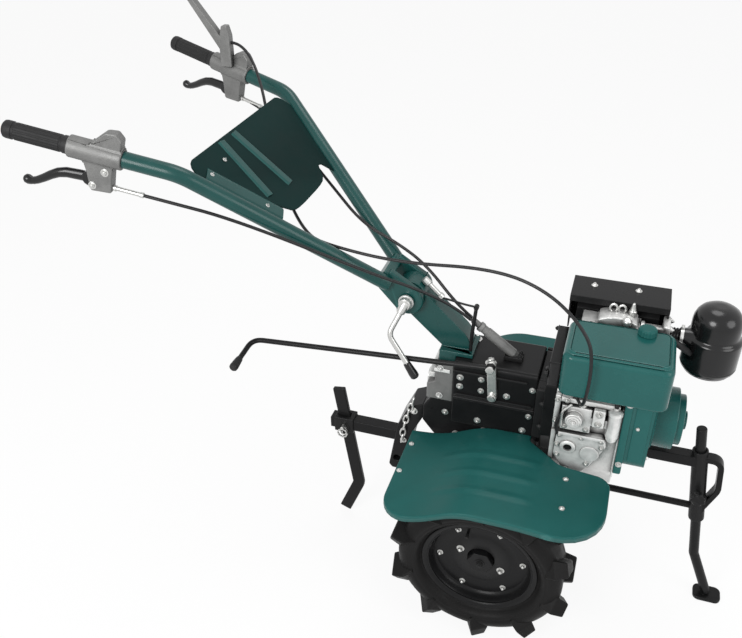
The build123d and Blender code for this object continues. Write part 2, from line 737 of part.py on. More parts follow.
# Handle bracket: a stepped foot, a curved neck and a round knuckle
with BuildPart() as handle_bracket:
    with BuildSketch(side(0)):
        with BuildLine():
            Polyline(
                (NECK_X - NECK_WIDE / 2 - 4, REAR_TOP),
                (CASE_BACK, REAR_TOP),
                (CASE_BACK, CASE_TOP),
                (NECK_X + NECK_WIDE / 2 + 8, CASE_TOP),
                (NECK_X + NECK_WIDE / 2 + 8, CASE_TOP + FOOT_THICK),
                (NECK_X - NECK_WIDE / 2 - 4, CASE_TOP + FOOT_THICK),
                close=True,
            )
        make_face()
    extrude(amount=KNUCKLE_HALF + 18, both=True)
    with BuildSketch(side(0)):
        with BuildLine():
            FilletPolyline(
                (NECK_X, CASE_TOP + FOOT_THICK / 2),
                (NECK_X, NECK_STRAIGHT),
                (PIVOT_X, PIVOT_Z),
                radius=NECK_BEND_R,
            )
        trace(line_width=NECK_WIDE)
        with Locations((PIVOT_X, PIVOT_Z)):
            Circle(KNUCKLE_R)
            Circle(BOLT_R, mode=Mode.SUBTRACT)
    extrude(amount=KNUCKLE_HALF, both=True)

# Clamp bolt with its crank handle
CHEEK_IN = KNUCKLE_HALF + CHEEK_GAP
CHEEK_OUT = CHEEK_IN + CHEEK_THICK
NUT_OUT = CHEEK_OUT + 3.0
CRANK_Y = LEVER_Y - CRANK_CLEAR
CRANK_END = Vector(*at(-214, CRANK_Y, 386))
CRANK_FROM = at(PIVOT_X, -NUT_OUT - 11, PIVOT_Z)
CRANK_BEND = Vector(*at(PIVOT_X - 26, CRANK_Y + CRANK_LEAN, PIVOT_Z - 60))
crank_rod = rod((CRANK_FROM, CRANK_BEND, CRANK_END), CRANK_BEND_R, LEVER_R, ROD_SIDES)
with BuildPart() as clamp_crank:
    with BuildSketch(side(NUT_OUT)):
        with Locations((PIVOT_X, PIVOT_Z)):
            Circle(BOLT_R)
    extrude(amount=2 * NUT_OUT)
    for nut_y, nut_long in ((NUT_OUT + 10, 10), (-NUT_OUT, 18)):
        with BuildSketch(side(nut_y)):
            with Locations((PIVOT_X, PIVOT_Z)):
                RegularPolygon(NUT_R, 6)
        extrude(amount=nut_long)
    add(crank_rod)

with BuildPart() as crank_knob:
    with BuildSketch(Plane(origin=CRANK_END, z_dir=CRANK_END - CRANK_BEND)):
        RegularPolygon(CRANK_KNOB_R, 8)
    extrude(amount=CRANK_KNOB_LONG)

# Handlebar hub with two cheeks and a bridge
BRIDGE = (PIVOT_X - 52.0, PIVOT_Z + 44.0)
with BuildPart() as handle_hub:
    for hand in (-1, 1):
        with BuildSketch(side(hand * CHEEK_IN)):
            with BuildLine():
                Polyline(
                    (PIVOT_X - 22, PIVOT_Z - 26),
                    (PIVOT_X + 22, PIVOT_Z + 26),
                    (BRIDGE[0] + 14, BRIDGE[1] + 20),
                    (BRIDGE[0] - 18, BRIDGE[1] - 18),
                    close=True,
                )
            make_face()
            with Locations((PIVOT_X, PIVOT_Z)):
                Circle(CHEEK_R)
                Circle(BOLT_R + BOLT_FIT, mode=Mode.SUBTRACT)
        extrude(amount=-hand * CHEEK_THICK)
    with BuildSketch(side(0)):
        with Locations(BRIDGE):
            Rectangle(22, 34, rotation=-40)
    extrude(amount=CHEEK_OUT, both=True)

# Handlebar tubes
tube_rod = rod(tuple(at(x, -y, z) for x, y, z in (TUBE_START, TUBE_BEND, TUBE_END)), TUBE_BEND_R, TUBE_R)
with BuildPart() as handle_tube_right:
    add(tube_rod)
    add(handle_hub.part, mode=Mode.SUBTRACT)

with BuildPart() as handle_tube_left:
    mirror(handle_tube_right.part, about=Plane.XZ)

# Tray panel between the tubes, on their common plane
TUBE_RUN = hypot(TUBE_BEND[0] - TUBE_START[0], TUBE_BEND[2] - TUBE_START[2])
TUBE_SPREAD = atan2(TUBE_BEND[1] - TUBE_START[1], TUBE_RUN)
TRAY_SLOPE = atan2(TUBE_BEND[2] - TUBE_START[2], TUBE_START[0] - TUBE_BEND[0])
TRAY_PLANE = Plane(
    origin=at(TUBE_START[0], 0, TUBE_START[2]),
    x_dir=(-cos(TRAY_SLOPE), 0, sin(TRAY_SLOPE)),
    z_dir=(sin(TRAY_SLOPE), 0, cos(TRAY_SLOPE)),
)


def beside_tube(along):
    """Half width of the panel where it touches the inner side of the tubes."""
    return TUBE_START[1] + along * sin(TUBE_SPREAD) / cos(TUBE_SPREAD) - TUBE_R / cos(TUBE_SPREAD)


# columns: place along the tubes, place across, corner radius
TRAY = [(450, 206, 14), (408, beside_tube(408), 0), (232, beside_tube(232), 0), (274, 120, 12),
        (274, 104, 12), (242, 84, 24)]
with BuildPart() as tray_panel:
    with BuildSketch(TRAY_PLANE.offset(-TRAY_SHEET / 2)):
        with BuildLine():
            FilletPolyline(
                *[(s, -a) for s, a, r in TRAY],
                *[(s, a) for s, a, r in reversed(TRAY)],
                radius=[r for s, a, r in TRAY] + [r for s, a, r in reversed(TRAY)],
                close=True,
            )
        make_face()
    extrude(amount=TRAY_SHEET)
    with BuildSketch(TRAY_PLANE.offset(TRAY_SHEET / 2)):
        with Locations((370, -TRAY_RIB_APART / 2), (370, TRAY_RIB_APART / 2)):
            Rectangle(TRAY_RIB_LONG, TRAY_RIB_WIDE)
    extrude(amount=TRAY_RIB, taper=25)

# Lever housing, lever and grip on the right bar, in the bar's own frame
BAR_FROM = Vector(*at(TUBE_END[0], -TUBE_END[1], TUBE_END[2]))
BAR_WAY = (BAR_FROM - Vector(*at(TUBE_BEND[0], -TUBE_BEND[1], TUBE_BEND[2]))).normalized()
BAR_SIDE = Plane(origin=BAR_FROM, x_dir=BAR_WAY, z_dir=(BAR_WAY.Y, -BAR_WAY.X, 0))
BAR_END = Plane(origin=BAR_FROM, z_dir=BAR_WAY)
# columns: place along the bar, height over the bar, corner radius
HUMP = [(4, 0, 0), (2, 38, 8), (14, 50, 8), (34, 47, 12), (62, 18, 0), (70, 0, 0)]
CHEEK = [(16, 0, 0), (16, -70, 0), (56, -74, 6), (66, -36, 0), (80, 0, 0)]
with BuildPart() as lever_housing_right:
    with BuildSketch(BAR_END):
        Circle(HOUSING_R)
    extrude(amount=HOUSING_LONG)
    for outline in (HUMP, CHEEK):
        with BuildSketch(BAR_SIDE):
            with BuildLine():
                FilletPolyline(
                    *[(x, h) for x, h, r in outline],
                    radius=[r for x, h, r in outline],
                    close=True,
                )
            make_face()
        extrude(amount=HOUSING_WEB, both=True)

with BuildPart() as hand_lever_right:
    with BuildSketch(BAR_SIDE):
        with BuildLine():
            FilletPolyline((58, -50), (112, -54), (162, -88), (184, -96), radius=(60, 30))
        trace(line_width=LEVER_WIDE)
    extrude(amount=LEVER_THICK / 2, both=True)
    add(lever_housing_right.part, mode=Mode.SUBTRACT)

with BuildPart() as grip_right:
    with BuildSketch(BAR_END.offset(HOUSING_LONG)):
        Circle(GRIP_R)
    extrude(amount=GRIP_LONG)

with BuildPart() as lever_housing_left:
    mirror(lever_housing_right.part, about=Plane.XZ)

with BuildPart() as hand_lever_left:
    mirror(hand_lever_right.part, about=Plane.XZ)

with BuildPart() as grip_left:
    mirror(grip_right.part, about=Plane.XZ)

# Throttle lever on the left bar
THROTTLE_Y = 262.0
# columns: place along the machine, height
THROTTLE = [(-748, 880), (-775, 880), (-775, 920), (-846, 1026), (-836, 1032), (-772, 950), (-766, 972),
            (-754, 972), (-748, 950)]
with BuildPart() as throttle_lever:
    with BuildSketch(side(THROTTLE_Y)):
        with BuildLine():
            Polyline(*THROTTLE, close=True)
        make_face()
    extrude(amount=10, both=True)
    add(lever_housing_left.part, mode=Mode.SUBTRACT)

# Rear hitch plate with its cross pin hole
# columns: place along the machine, height
HITCH = [(LOWER_BACK, 200), (LOWER_BACK, 238), (-224, 222), (-252, 160), (-272, 34), (-264, 24), (-238, 24),
         (-214, 150)]
with BuildPart() as hitch_bracket:
    with BuildSketch(side(0)):
        with BuildLine():
            Polyline(*HITCH, close=True)
        make_face()
        with Locations(HITCH_PIN):
            Circle(HITCH_PIN_R, mode=Mode.SUBTRACT)
    extrude(amount=HITCH_HALF, both=True)

# Square hitch tube with the socket of the drag stake
STAKE_WAY = Vector(STAKE_BEND[0] - STAKE_TOP[0], 0, STAKE_BEND[1] - STAKE_TOP[1])
STAKE_PLANE = Plane(origin=at(STAKE_TOP[0], 0, STAKE_TOP[1]), x_dir=(0, 1, 0), z_dir=STAKE_WAY)
STAKE_AT_TUBE = STAKE_TOP[0] + (HITCH_TUBE_Z - STAKE_TOP[1]) * STAKE_WAY.X / STAKE_WAY.Z
with BuildPart() as hitch_tube:
    with BuildSketch(front(HITCH_TUBE_BACK)):
        with Locations((0, HITCH_TUBE_Z)):
            Rectangle(HITCH_TUBE, HITCH_TUBE)
    extrude(amount=HITCH_PIN[0] - HITCH_TUBE_BACK)
    with BuildSketch(side(0)):
        with Locations((STAKE_AT_TUBE, HITCH_TUBE_Z)):
            Rectangle(STAKE_WIDE + 2 * SOCKET_WALL, HITCH_TUBE + 2 * SOCKET_RISE)
    extrude(amount=HITCH_TUBE / 2 + SOCKET_SIDE, both=True)
    with BuildSketch(STAKE_PLANE):
        Rectangle(STAKE_THICK + 2 * STAKE_FIT, STAKE_WIDE + 2 * STAKE_FIT)
    extrude(amount=STAKE_WAY.length, mode=Mode.SUBTRACT)
    add(hitch_bracket.part, mode=Mode.SUBTRACT)

with BuildPart() as drag_stake:
    with BuildSketch(side(0)):
        with BuildLine():
            FilletPolyline(STAKE_TOP, STAKE_BEND, STAKE_TIP, radius=STAKE_BEND_R)
        trace(line_width=STAKE_WIDE)
    extrude(amount=STAKE_THICK / 2, both=True)

# Stake pin with its pull ring
PIN_FROM = HITCH_TUBE / 2 + SOCKET_SIDE
with BuildPart() as stake_pin:
    with BuildSketch(side(-PIN_FROM)):
        with Locations((STAKE_AT_TUBE, HITCH_TUBE_Z)):
            RegularPolygon(5, 6)
    extrude(amount=14)
    with BuildSketch(side(-PIN_FROM - 8)):
        with Locations((STAKE_AT_TUBE, HITCH_TUBE_Z - 16)):
            RegularPolygon(14, 8)
            RegularPolygon(10.5, 8, mode=Mode.SUBTRACT)
    extrude(amount=4)

# Front stand: bar, sleeve, brace rod and bumper strap
LEG_WAY = Vector(LEG_KINK[0] - LEG_TOP[0], 0, LEG_KINK[1] - LEG_TOP[1]).normalized()
LEG_PLANE = Plane(origin=at(LEG_TOP[0], 0, LEG_TOP[1]), x_dir=(0, 1, 0), z_dir=LEG_WAY)


def leg_x(z):
    """Place of the leg's axis along the machine at a height."""
    return LEG_TOP[0] + (z - LEG_TOP[1]) * LEG_WAY.X / LEG_WAY.Z


BRACE_R = 8.0
BRACE_Z = 72.0
STRAP_HIGH = 214.0
STRAP_LOW = 58.0
with BuildPart() as stand_frame:
    with BuildSketch(front(ENGINE_FRONT)):
        with Locations((0, BAR_Z)):
            Rectangle(BAR_WIDE, BAR_HIGH)
    extrude(amount=leg_x(BAR_Z) - ENGINE_FRONT)
    with BuildSketch(front(CASE_FRONT)):
        with Locations((0, BRACE_Z)):
            RegularPolygon(BRACE_R, ROD_SIDES)
    extrude(amount=leg_x(BRACE_Z) - CASE_FRONT)
    with BuildSketch(side(0)):
        with BuildLine():
            FilletPolyline(
                (leg_x(STRAP_HIGH), STRAP_HIGH),
                (leg_x(STRAP_HIGH) + 44, STRAP_HIGH),
                (leg_x(STRAP_HIGH) + 52, (STRAP_HIGH + STRAP_LOW) / 2),
                (leg_x(STRAP_LOW), STRAP_LOW),
                radius=(20, 40),
            )
        trace(line_width=STRAP_THICK)
    extrude(amount=STRAP_HALF, both=True)
    with BuildSketch(LEG_PLANE.offset(SLEEVE_FROM)):
        RegularPolygon(SLEEVE_R, LEG_SIDES)
    extrude(amount=SLEEVE_LONG)
    with BuildSketch(LEG_PLANE):
        Circle(LEG_R + LEG_FIT)
    extrude(amount=SLEEVE_FROM + 2 * SLEEVE_LONG, mode=Mode.SUBTRACT)

# Clamp knob on the near side of the sleeve
with BuildPart() as stand_knob:
    with BuildSketch(side(-SLEEVE_R + 4)):
        with Locations((leg_x(KNOB_Z), KNOB_Z)):
            RegularPolygon(KNOB_STEM_R, 6)
    extrude(amount=KNOB_STEM + 4)
    with BuildSketch(side(-SLEEVE_R - KNOB_STEM)):
        with Locations((leg_x(KNOB_Z), KNOB_Z)):
            RegularPolygon(KNOB_R, 8)
    extrude(amount=KNOB_THICK)
    add(stand_frame.part, mode=Mode.SUBTRACT)

# Stand leg with its foot plate flat on the floor
leg_rod = rod(tuple(at(x, 0, z) for x, z in (LEG_TOP, LEG_KINK, LEG_TOE)), LEG_BEND_R, LEG_R, LEG_SIDES)
with BuildPart() as stand_leg:
    add(leg_rod)
    with BuildSketch(top(-AXLE_Z)):
        with Locations((LEG_TOE[0] + 3, 0)):
            RectangleRounded(FOOT_LONG, FOOT_WIDE, FOOT_ROUND)
    extrude(amount=FOOT_PLATE)
    with BuildSketch(top(-AXLE_Z)):
        with Locations((LEG_TOE[0], 0)):
            Rectangle(200, 200)
    extrude(amount=-AXLE_Z, mode=Mode.SUBTRACT)

# Clutch pull rod in front of the bracket
ROD_BASE = 10.0
ROD_LOW = Vector(*at(ROD_FOOT[0], ROD_FOOT[1], CASE_TOP + ROD_BASE))
ROD_WAY = Vector(-98, 0, 72).normalized()
ROD_END = ROD_LOW + ROD_LONG * ROD_WAY
with BuildPart() as clutch_rod:
    with BuildSketch(top(CASE_TOP)):
        with Locations(ROD_FOOT):
            Rectangle(ROD_BASE_LONG, ROD_BASE_WIDE)
    extrude(amount=ROD_BASE)
    with BuildSketch(Plane(origin=ROD_LOW, z_dir=ROD_WAY)):
        RegularPolygon(ROD_R, ROD_SIDES)
    extrude(amount=ROD_LONG)

# Cables, straight runs joined by arcs
LEVER_EXIT = BAR_SIDE.from_local_coords((16, -62, 0))
LEFT_EXIT = Vector(LEVER_EXIT.X, -LEVER_EXIT.Y, LEVER_EXIT.Z)
LEFT_WAY = Vector(BAR_WAY.X, -BAR_WAY.Y, BAR_WAY.Z)
CABLE_APART = 5.5
RIGHT_ROUTE = [
    LEVER_EXIT,
    LEVER_EXIT - 90 * BAR_WAY,
    at(-520, -222, 742),
    at(-300, -98, 598),
    at(-200, -52, 548),
    ROD_END + Vector(0, -CABLE_APART, 0) + 40 * ROD_WAY,
    ROD_END + Vector(0, -CABLE_APART, 0),
]
LEFT_ROUTE = [
    LEFT_EXIT,
    LEFT_EXIT - 90 * LEFT_WAY,
    at(-470, 150, 664),
    at(-366, 64, 622),
    at(-282, 54, 592),
    at(-212, 40, 556),
    ROD_END + Vector(0, CABLE_APART, 0) + 40 * ROD_WAY,
    ROD_END + Vector(0, CABLE_APART, 0),
]
THROTTLE_ROUTE = [
    at(-748, THROTTLE_Y, 934),
    at(-690, THROTTLE_Y, 934),
    at(-560, 60, 720),
    at(-450, -70, 650),
    at(-380, -84, 638),
    at(-232, -98, 632),
    at(-40, -122, 664),
    at(70, -150, 648),
    at(150, -178, 588),
    at(166, -190, 530),
    at(162, -188, 424),
    at(144, -126, 405),
    at(140, -115, 400),
    at(140, -115, 378),
]
with BuildPart() as clutch_cable_right:
    with BuildLine() as right_line:
        FilletPolyline(*RIGHT_ROUTE, radius=(60, 80, 60, 40, 25))
    with BuildSketch(Plane(origin=right_line.line @ 0, z_dir=right_line.line % 0)):
        RegularPolygon(CABLE_R, 6)
    sweep()

with BuildPart() as clutch_cable_left:
    with BuildLine() as left_line:
        FilletPolyline(*LEFT_ROUTE, radius=(60, 50, 40, 50, 40, 25))
    with BuildSketch(Plane(origin=left_line.line @ 0, z_dir=left_line.line % 0)):
        RegularPolygon(CABLE_R, 6)
    sweep()

with BuildPart() as throttle_cable:
    with BuildLine() as throttle_line:
        FilletPolyline(*THROTTLE_ROUTE, radius=(25, 60, 60, 60, 120, 150, 90, 40, 40, 12, 4, 4))
    with BuildSketch(Plane(origin=throttle_line.line @ 0, z_dir=throttle_line.line % 0)):
        RegularPolygon(CABLE_R, 6)
    sweep()

PIECES = {
    "tyre_right": tyre_right, "tyre_left": tyre_left, "rim_right": rim_right, "rim_left": rim_left,
    "hub_right": hub_right, "hub_left": hub_left, "gear_case_upper": gear_case_upper,
    "gear_case_rear": gear_case_rear, "bell_housing": bell_housing, "axle_case": axle_case,
    "shift_arm": shift_arm, "gear_lever": gear_lever, "gear_lever_grip": gear_lever_grip,
    "crankcase": crankcase, "side_cover": side_cover, "injection_pump": injection_pump,
    "cylinder": cylinder, "cylinder_head": cylinder_head, "blower_housing": blower_housing,
    "recoil_starter": recoil_starter, "fuel_tank": fuel_tank, "tank_cap": tank_cap,
    "tank_brackets": tank_brackets, "muffler": muffler, "muffler_guard": muffler_guard,
    "air_cleaner": air_cleaner, "intake_pipe": intake_pipe, "fender_right": fender_right,
    "fender_left": fender_left, "engine_bed": engine_bed, "handle_bracket": handle_bracket,
    "clamp_crank": clamp_crank, "crank_knob": crank_knob, "handle_hub": handle_hub,
    "handle_tube_right": handle_tube_right, "handle_tube_left": handle_tube_left,
    "tray_panel": tray_panel, "lever_housing_right": lever_housing_right,
    "lever_housing_left": lever_housing_left, "hand_lever_right": hand_lever_right,
    "hand_lever_left": hand_lever_left, "grip_right": grip_right, "grip_left": grip_left,
    "throttle_lever": throttle_lever, "hitch_bracket": hitch_bracket, "hitch_tube": hitch_tube,
    "drag_stake": drag_stake, "stake_pin": stake_pin, "stand_frame": stand_frame,
    "stand_knob": stand_knob, "stand_leg": stand_leg, "clutch_cable_right": clutch_cable_right,
    "clutch_cable_left": clutch_cable_left, "clutch_rod": clutch_rod, "throttle_cable": throttle_cable,
}
for name, piece in PIECES.items():
    piece.part.label = name
    export_step(piece.part, f"parts/{name}.step")
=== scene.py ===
import json
from math import cos, pi, radians, sin, tan

import bmesh
import bpy
from mathutils import Matrix, Vector


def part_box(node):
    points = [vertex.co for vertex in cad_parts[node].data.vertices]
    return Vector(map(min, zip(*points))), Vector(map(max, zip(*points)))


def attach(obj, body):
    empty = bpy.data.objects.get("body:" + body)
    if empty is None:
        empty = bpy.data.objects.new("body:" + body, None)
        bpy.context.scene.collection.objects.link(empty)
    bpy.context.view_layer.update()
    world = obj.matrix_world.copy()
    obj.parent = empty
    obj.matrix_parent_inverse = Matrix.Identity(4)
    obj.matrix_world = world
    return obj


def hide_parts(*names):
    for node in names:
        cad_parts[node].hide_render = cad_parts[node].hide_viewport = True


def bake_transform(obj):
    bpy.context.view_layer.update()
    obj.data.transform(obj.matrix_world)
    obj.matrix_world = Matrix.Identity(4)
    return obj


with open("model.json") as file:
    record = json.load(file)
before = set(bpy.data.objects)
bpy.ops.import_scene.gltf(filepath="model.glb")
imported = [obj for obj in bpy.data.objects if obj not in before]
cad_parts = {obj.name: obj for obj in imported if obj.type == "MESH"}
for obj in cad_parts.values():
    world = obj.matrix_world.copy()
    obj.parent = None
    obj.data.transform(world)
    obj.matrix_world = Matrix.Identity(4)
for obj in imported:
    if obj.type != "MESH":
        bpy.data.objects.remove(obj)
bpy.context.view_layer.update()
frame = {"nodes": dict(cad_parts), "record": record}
scene = bpy.context.scene
scene.view_settings.view_transform = "Standard"

# Camera of the photograph: angles in degrees, place in metres, focal length in pixels of the photograph
CAMERA_AZIMUTH = 18.556
CAMERA_ELEVATION = 32.843
CAMERA_ROLL = -0.535
CAMERA_PLACE = (0.3727, -1.4971, 1.6395)
FOCAL_PIXELS = 835.33
PHOTO_WIDTH = 742
SENSOR_MM = 36.0

# Brightness of the world, share of plain white in the floor, and the floor's half width in metres
WORLD_STRENGTH = 0.5
FLOOR_WHITE = 0.9
FLOOR_REACH = 20.0
# columns: name, place, target, size in metres, power in watts
LIGHTS = [
    ("key", (-0.9, -2.7, 2.1), (0.1, 0, 0.5), 1.6, 62),
    ("fill", (2.6, -1.0, 1.8), (0.2, 0, 0.5), 1.8, 26),
    ("top", (0.3, 0.9, 3.8), (0.1, 0, 0.6), 1.8, 30),
]

# Places below are millimetres from the middle of the axle: X forward, Y left, Z up
MM = 0.001
AXLE = Vector((0.1975, 0, 0.2))
RIGHT = -1
LEFT = 1
SIDES = (RIGHT, LEFT)
HANDS = (("right", RIGHT), ("left", LEFT))
NEAR = (0, -1, 0)
FAR = (0, 1, 0)
UP = (0, 0, 1)
FORWARD = (1, 0, 0)
BACKWARD = (-1, 0, 0)
BODY_OF = {node: body for body, nodes in frame["record"]["behaviour"]["bodies"].items() for node in nodes}
SLOT_OF = {part["node"]: part["material_slot"] for part in frame["record"]["subparts"]}


def spot(x, y, z):
    return AXLE + Vector((x, y, z)) * MM


# Stage: camera, lights, world and floor

def link_object(name, data):
    made = bpy.data.objects.new(name, data)
    scene.collection.objects.link(made)
    return made


def make_camera():
    azimuth, elevation, roll = (radians(v) for v in (CAMERA_AZIMUTH, CAMERA_ELEVATION, CAMERA_ROLL))
    right = Vector((cos(azimuth), sin(azimuth), 0))
    back = Vector((sin(azimuth) * cos(elevation), -cos(azimuth) * cos(elevation), sin(elevation)))
    up = back.cross(right)
    turned_right = cos(roll) * right + sin(roll) * up
    turned_up = back.cross(turned_right)
    camera = link_object("photo_camera", bpy.data.cameras.new("photo_camera"))
    camera.data.sensor_width = SENSOR_MM
    camera.data.lens = SENSOR_MM * FOCAL_PIXELS / PHOTO_WIDTH
    camera.data.clip_end = 50
    turn = Matrix((turned_right, turned_up, back)).transposed().to_4x4()
    camera.matrix_world = Matrix.Translation(CAMERA_PLACE) @ turn
    scene.camera = camera


def make_area_light(name, place, target, size, power):
    light = link_object(name, bpy.data.lights.new(name, "AREA"))
    light.data.shape = "DISK"
    light.data.size = size
    light.data.energy = power
    light.location = place
    light.rotation_euler = (Vector(target) - Vector(place)).to_track_quat("-Z", "Y").to_euler()


def seen_directly(nodes, links):
    """Socket that is 1 for rays from the camera, from reflections and through glass."""
    path = nodes.new("ShaderNodeLightPath")
    first = nodes.new("ShaderNodeMath")
    second = nodes.new("ShaderNodeMath")
    first.operation = "MAXIMUM"
    second.operation = "MAXIMUM"
    links.new(path.outputs["Is Camera Ray"], first.inputs[0])
    links.new(path.outputs["Is Glossy Ray"], first.inputs[1])
    links.new(first.outputs[0], second.inputs[0])
    links.new(path.outputs["Is Transmission Ray"], second.inputs[1])
    return second.outputs[0]


def make_world():
    world = bpy.data.worlds.new("studio")
    scene.world = world
    world.use_nodes = True
    nodes, links = world.node_tree.nodes, world.node_tree.links
    nodes.clear()
    out = nodes.new("ShaderNodeOutputWorld")
    pick = nodes.new("ShaderNodeMixShader")
    soft = nodes.new("ShaderNodeBackground")
    white = nodes.new("ShaderNodeBackground")
    soft.inputs["Color"].default_value = (1, 1, 1, 1)
    soft.inputs["Strength"].default_value = WORLD_STRENGTH
    white.inputs["Color"].default_value = (1, 1, 1, 1)
    white.inputs["Strength"].default_value = 1.0
    links.new(seen_directly(nodes, links), pick.inputs["Fac"])
    links.new(soft.outputs[0], pick.inputs[1])
    links.new(white.outputs[0], pick.inputs[2])
    links.new(pick.outputs[0], out.inputs["Surface"])


def make_floor():
    mesh = bpy.data.meshes.new("floor")
    corners = [(x * FLOOR_REACH, y * FLOOR_REACH, 0) for x, y in ((-1, -1), (1, -1), (1, 1), (-1, 1))]
    mesh.from_pydata(corners, [], [(0, 1, 2, 3)])
    floor = link_object("floor", mesh)
    floor.data.materials.append(pale_floor())


def new_material(name):
    material = bpy.data.materials.new(name)
    material.use_nodes = True
    nodes = material.node_tree.nodes
    return material, nodes, material.node_tree.links, nodes["Principled BSDF"]


def pale_floor():
    """White where it is looked at, with the object's shadow left in it."""
    material, nodes, links, shader = new_material("pale_floor")
    shader.inputs["Base Color"].default_value = (0.92, 0.92, 0.92, 1)
    shader.inputs["Roughness"].default_value = 0.9
    shader.inputs["Specular IOR Level"].default_value = 0.0
    glow = nodes.new("ShaderNodeEmission")
    glow.inputs["Color"].default_value = (1, 1, 1, 1)
    share = nodes.new("ShaderNodeMath")
    share.operation = "MULTIPLY"
    share.inputs[1].default_value = FLOOR_WHITE
    pick = nodes.new("ShaderNodeMixShader")
    links.new(seen_directly(nodes, links), share.inputs[0])
    links.new(share.outputs[0], pick.inputs["Fac"])
    links.new(shader.outputs[0], pick.inputs[1])
    links.new(glow.outputs[0], pick.inputs[2])
    links.new(pick.outputs[0], nodes["Material Output"].inputs["Surface"])
    return material


# Materials

# Pointiness where an edge starts to lighten and where it is fully lightened, and the lighter tone's share
# there: wear, and on the gloss green also a painted highlight
WEAR_AND_HIGHLIGHT_START = 0.53
WEAR_AND_HIGHLIGHT_FULL = 0.66
WEAR_AND_HIGHLIGHT_SHARE = 0.6
# Openness of a corner where the painted shade is darkest and where it ends, and how far it reaches in metres
CORNER_SHADE_DEEP = 0.35
CORNER_SHADE_END = 0.9
CORNER_SHADE_REACH = 0.02
# Near-black tone of the painted shade in corners
CORNER_SHADE_TONE = (0.02, 0.02, 0.019)
# Depth of the grain and of the dents in metres, and the scale of the dents
GRAIN_DEPTH = 0.001
DENT_DEPTH = 0.01
DENT_SCALE = 11.0
COAT_ROUGHNESS = 0.14
PATCH_SPAN = (0.3, 0.7)


def add_noise(nodes, links, place, scale, detail, roughness=0.5):
    noise = nodes.new("ShaderNodeTexNoise")
    noise.inputs["Scale"].default_value = scale
    noise.inputs["Detail"].default_value = detail
    noise.inputs["Roughness"].default_value = roughness
    links.new(place.outputs["Object"], noise.inputs["Vector"])
    return noise.outputs["Fac"]


def add_range(nodes, links, value, span, target):
    """Socket that carries a value from one span of numbers to another."""
    stretch = nodes.new("ShaderNodeMapRange")
    stretch.inputs["From Min"].default_value = span[0]
    stretch.inputs["From Max"].default_value = span[1]
    stretch.inputs["To Min"].default_value = target[0]
    stretch.inputs["To Max"].default_value = target[1]
    links.new(value, stretch.inputs["Value"])
    return stretch.outputs["Result"]


def add_tint(nodes, links, factor, base, colour):
    """Socket that mixes a colour over a base, which is a colour or a socket."""
    tint = nodes.new("ShaderNodeMix")
    tint.data_type = "RGBA"
    tint.inputs["B"].default_value = (*colour, 1)
    links.new(factor, tint.inputs["Factor"])
    if isinstance(base, tuple):
        tint.inputs["A"].default_value = (*base, 1)
    else:
        links.new(base, tint.inputs["A"])
    return tint.outputs["Result"]


def add_bump(nodes, links, height, strength, depth):
    bump = nodes.new("ShaderNodeBump")
    bump.inputs["Strength"].default_value = strength
    bump.inputs["Distance"].default_value = depth
    links.new(height, bump.inputs["Height"])
    return bump


def surface(name, low, high, wear_and_highlight, roughness, metallic=0.0, coat=0.0, shine=0.5, grain=60.0, bump=0.05,
            fine=400.0, dent=0.0, corner_shade=0.0):
    """Two-tone surface: patches move the colour and the roughness, fine grain and dents give the bump,
    edges get a lighter tone for wear, which on the gloss green is also a painted highlight,
    and corners get a painted shade."""
    material, nodes, links, shader = new_material(name)
    place = nodes.new("ShaderNodeTexCoord")
    shape = nodes.new("ShaderNodeNewGeometry")
    patch = add_noise(nodes, links, place, grain, 6, 0.62)
    # Lighter edges: wear, and on the gloss green also a painted highlight along the rounded edges
    edge = add_range(nodes, links, shape.outputs["Pointiness"], (WEAR_AND_HIGHLIGHT_START, WEAR_AND_HIGHLIGHT_FULL), (0.0, WEAR_AND_HIGHLIGHT_SHARE))
    colour = add_tint(nodes, links, edge, add_tint(nodes, links, patch, low, high), wear_and_highlight)
    # Painted shade: corners that ambient occlusion finds are darkened towards a near-black tone
    if corner_shade:
        corner = nodes.new("ShaderNodeAmbientOcclusion")
        corner.inputs["Distance"].default_value = CORNER_SHADE_REACH
        shade_share = add_range(nodes, links, corner.outputs["AO"], (CORNER_SHADE_DEEP, CORNER_SHADE_END), (corner_shade, 0.0))
        colour = add_tint(nodes, links, shade_share, colour, CORNER_SHADE_TONE)
    relief = add_bump(nodes, links, add_noise(nodes, links, place, fine, 3), bump, GRAIN_DEPTH)
    if dent:
        waves = add_noise(nodes, links, place, DENT_SCALE, 2)
        press = add_bump(nodes, links, waves, dent, DENT_DEPTH)
        links.new(press.outputs["Normal"], relief.inputs["Normal"])
    links.new(colour, shader.inputs["Base Color"])
    links.new(add_range(nodes, links, patch, PATCH_SPAN, roughness), shader.inputs["Roughness"])
    links.new(relief.outputs["Normal"], shader.inputs["Normal"])
    shader.inputs["Metallic"].default_value = metallic
    shader.inputs["Specular IOR Level"].default_value = shine
    shader.inputs["Coat Weight"].default_value = coat
    shader.inputs["Coat Roughness"].default_value = COAT_ROUGHNESS
    return material


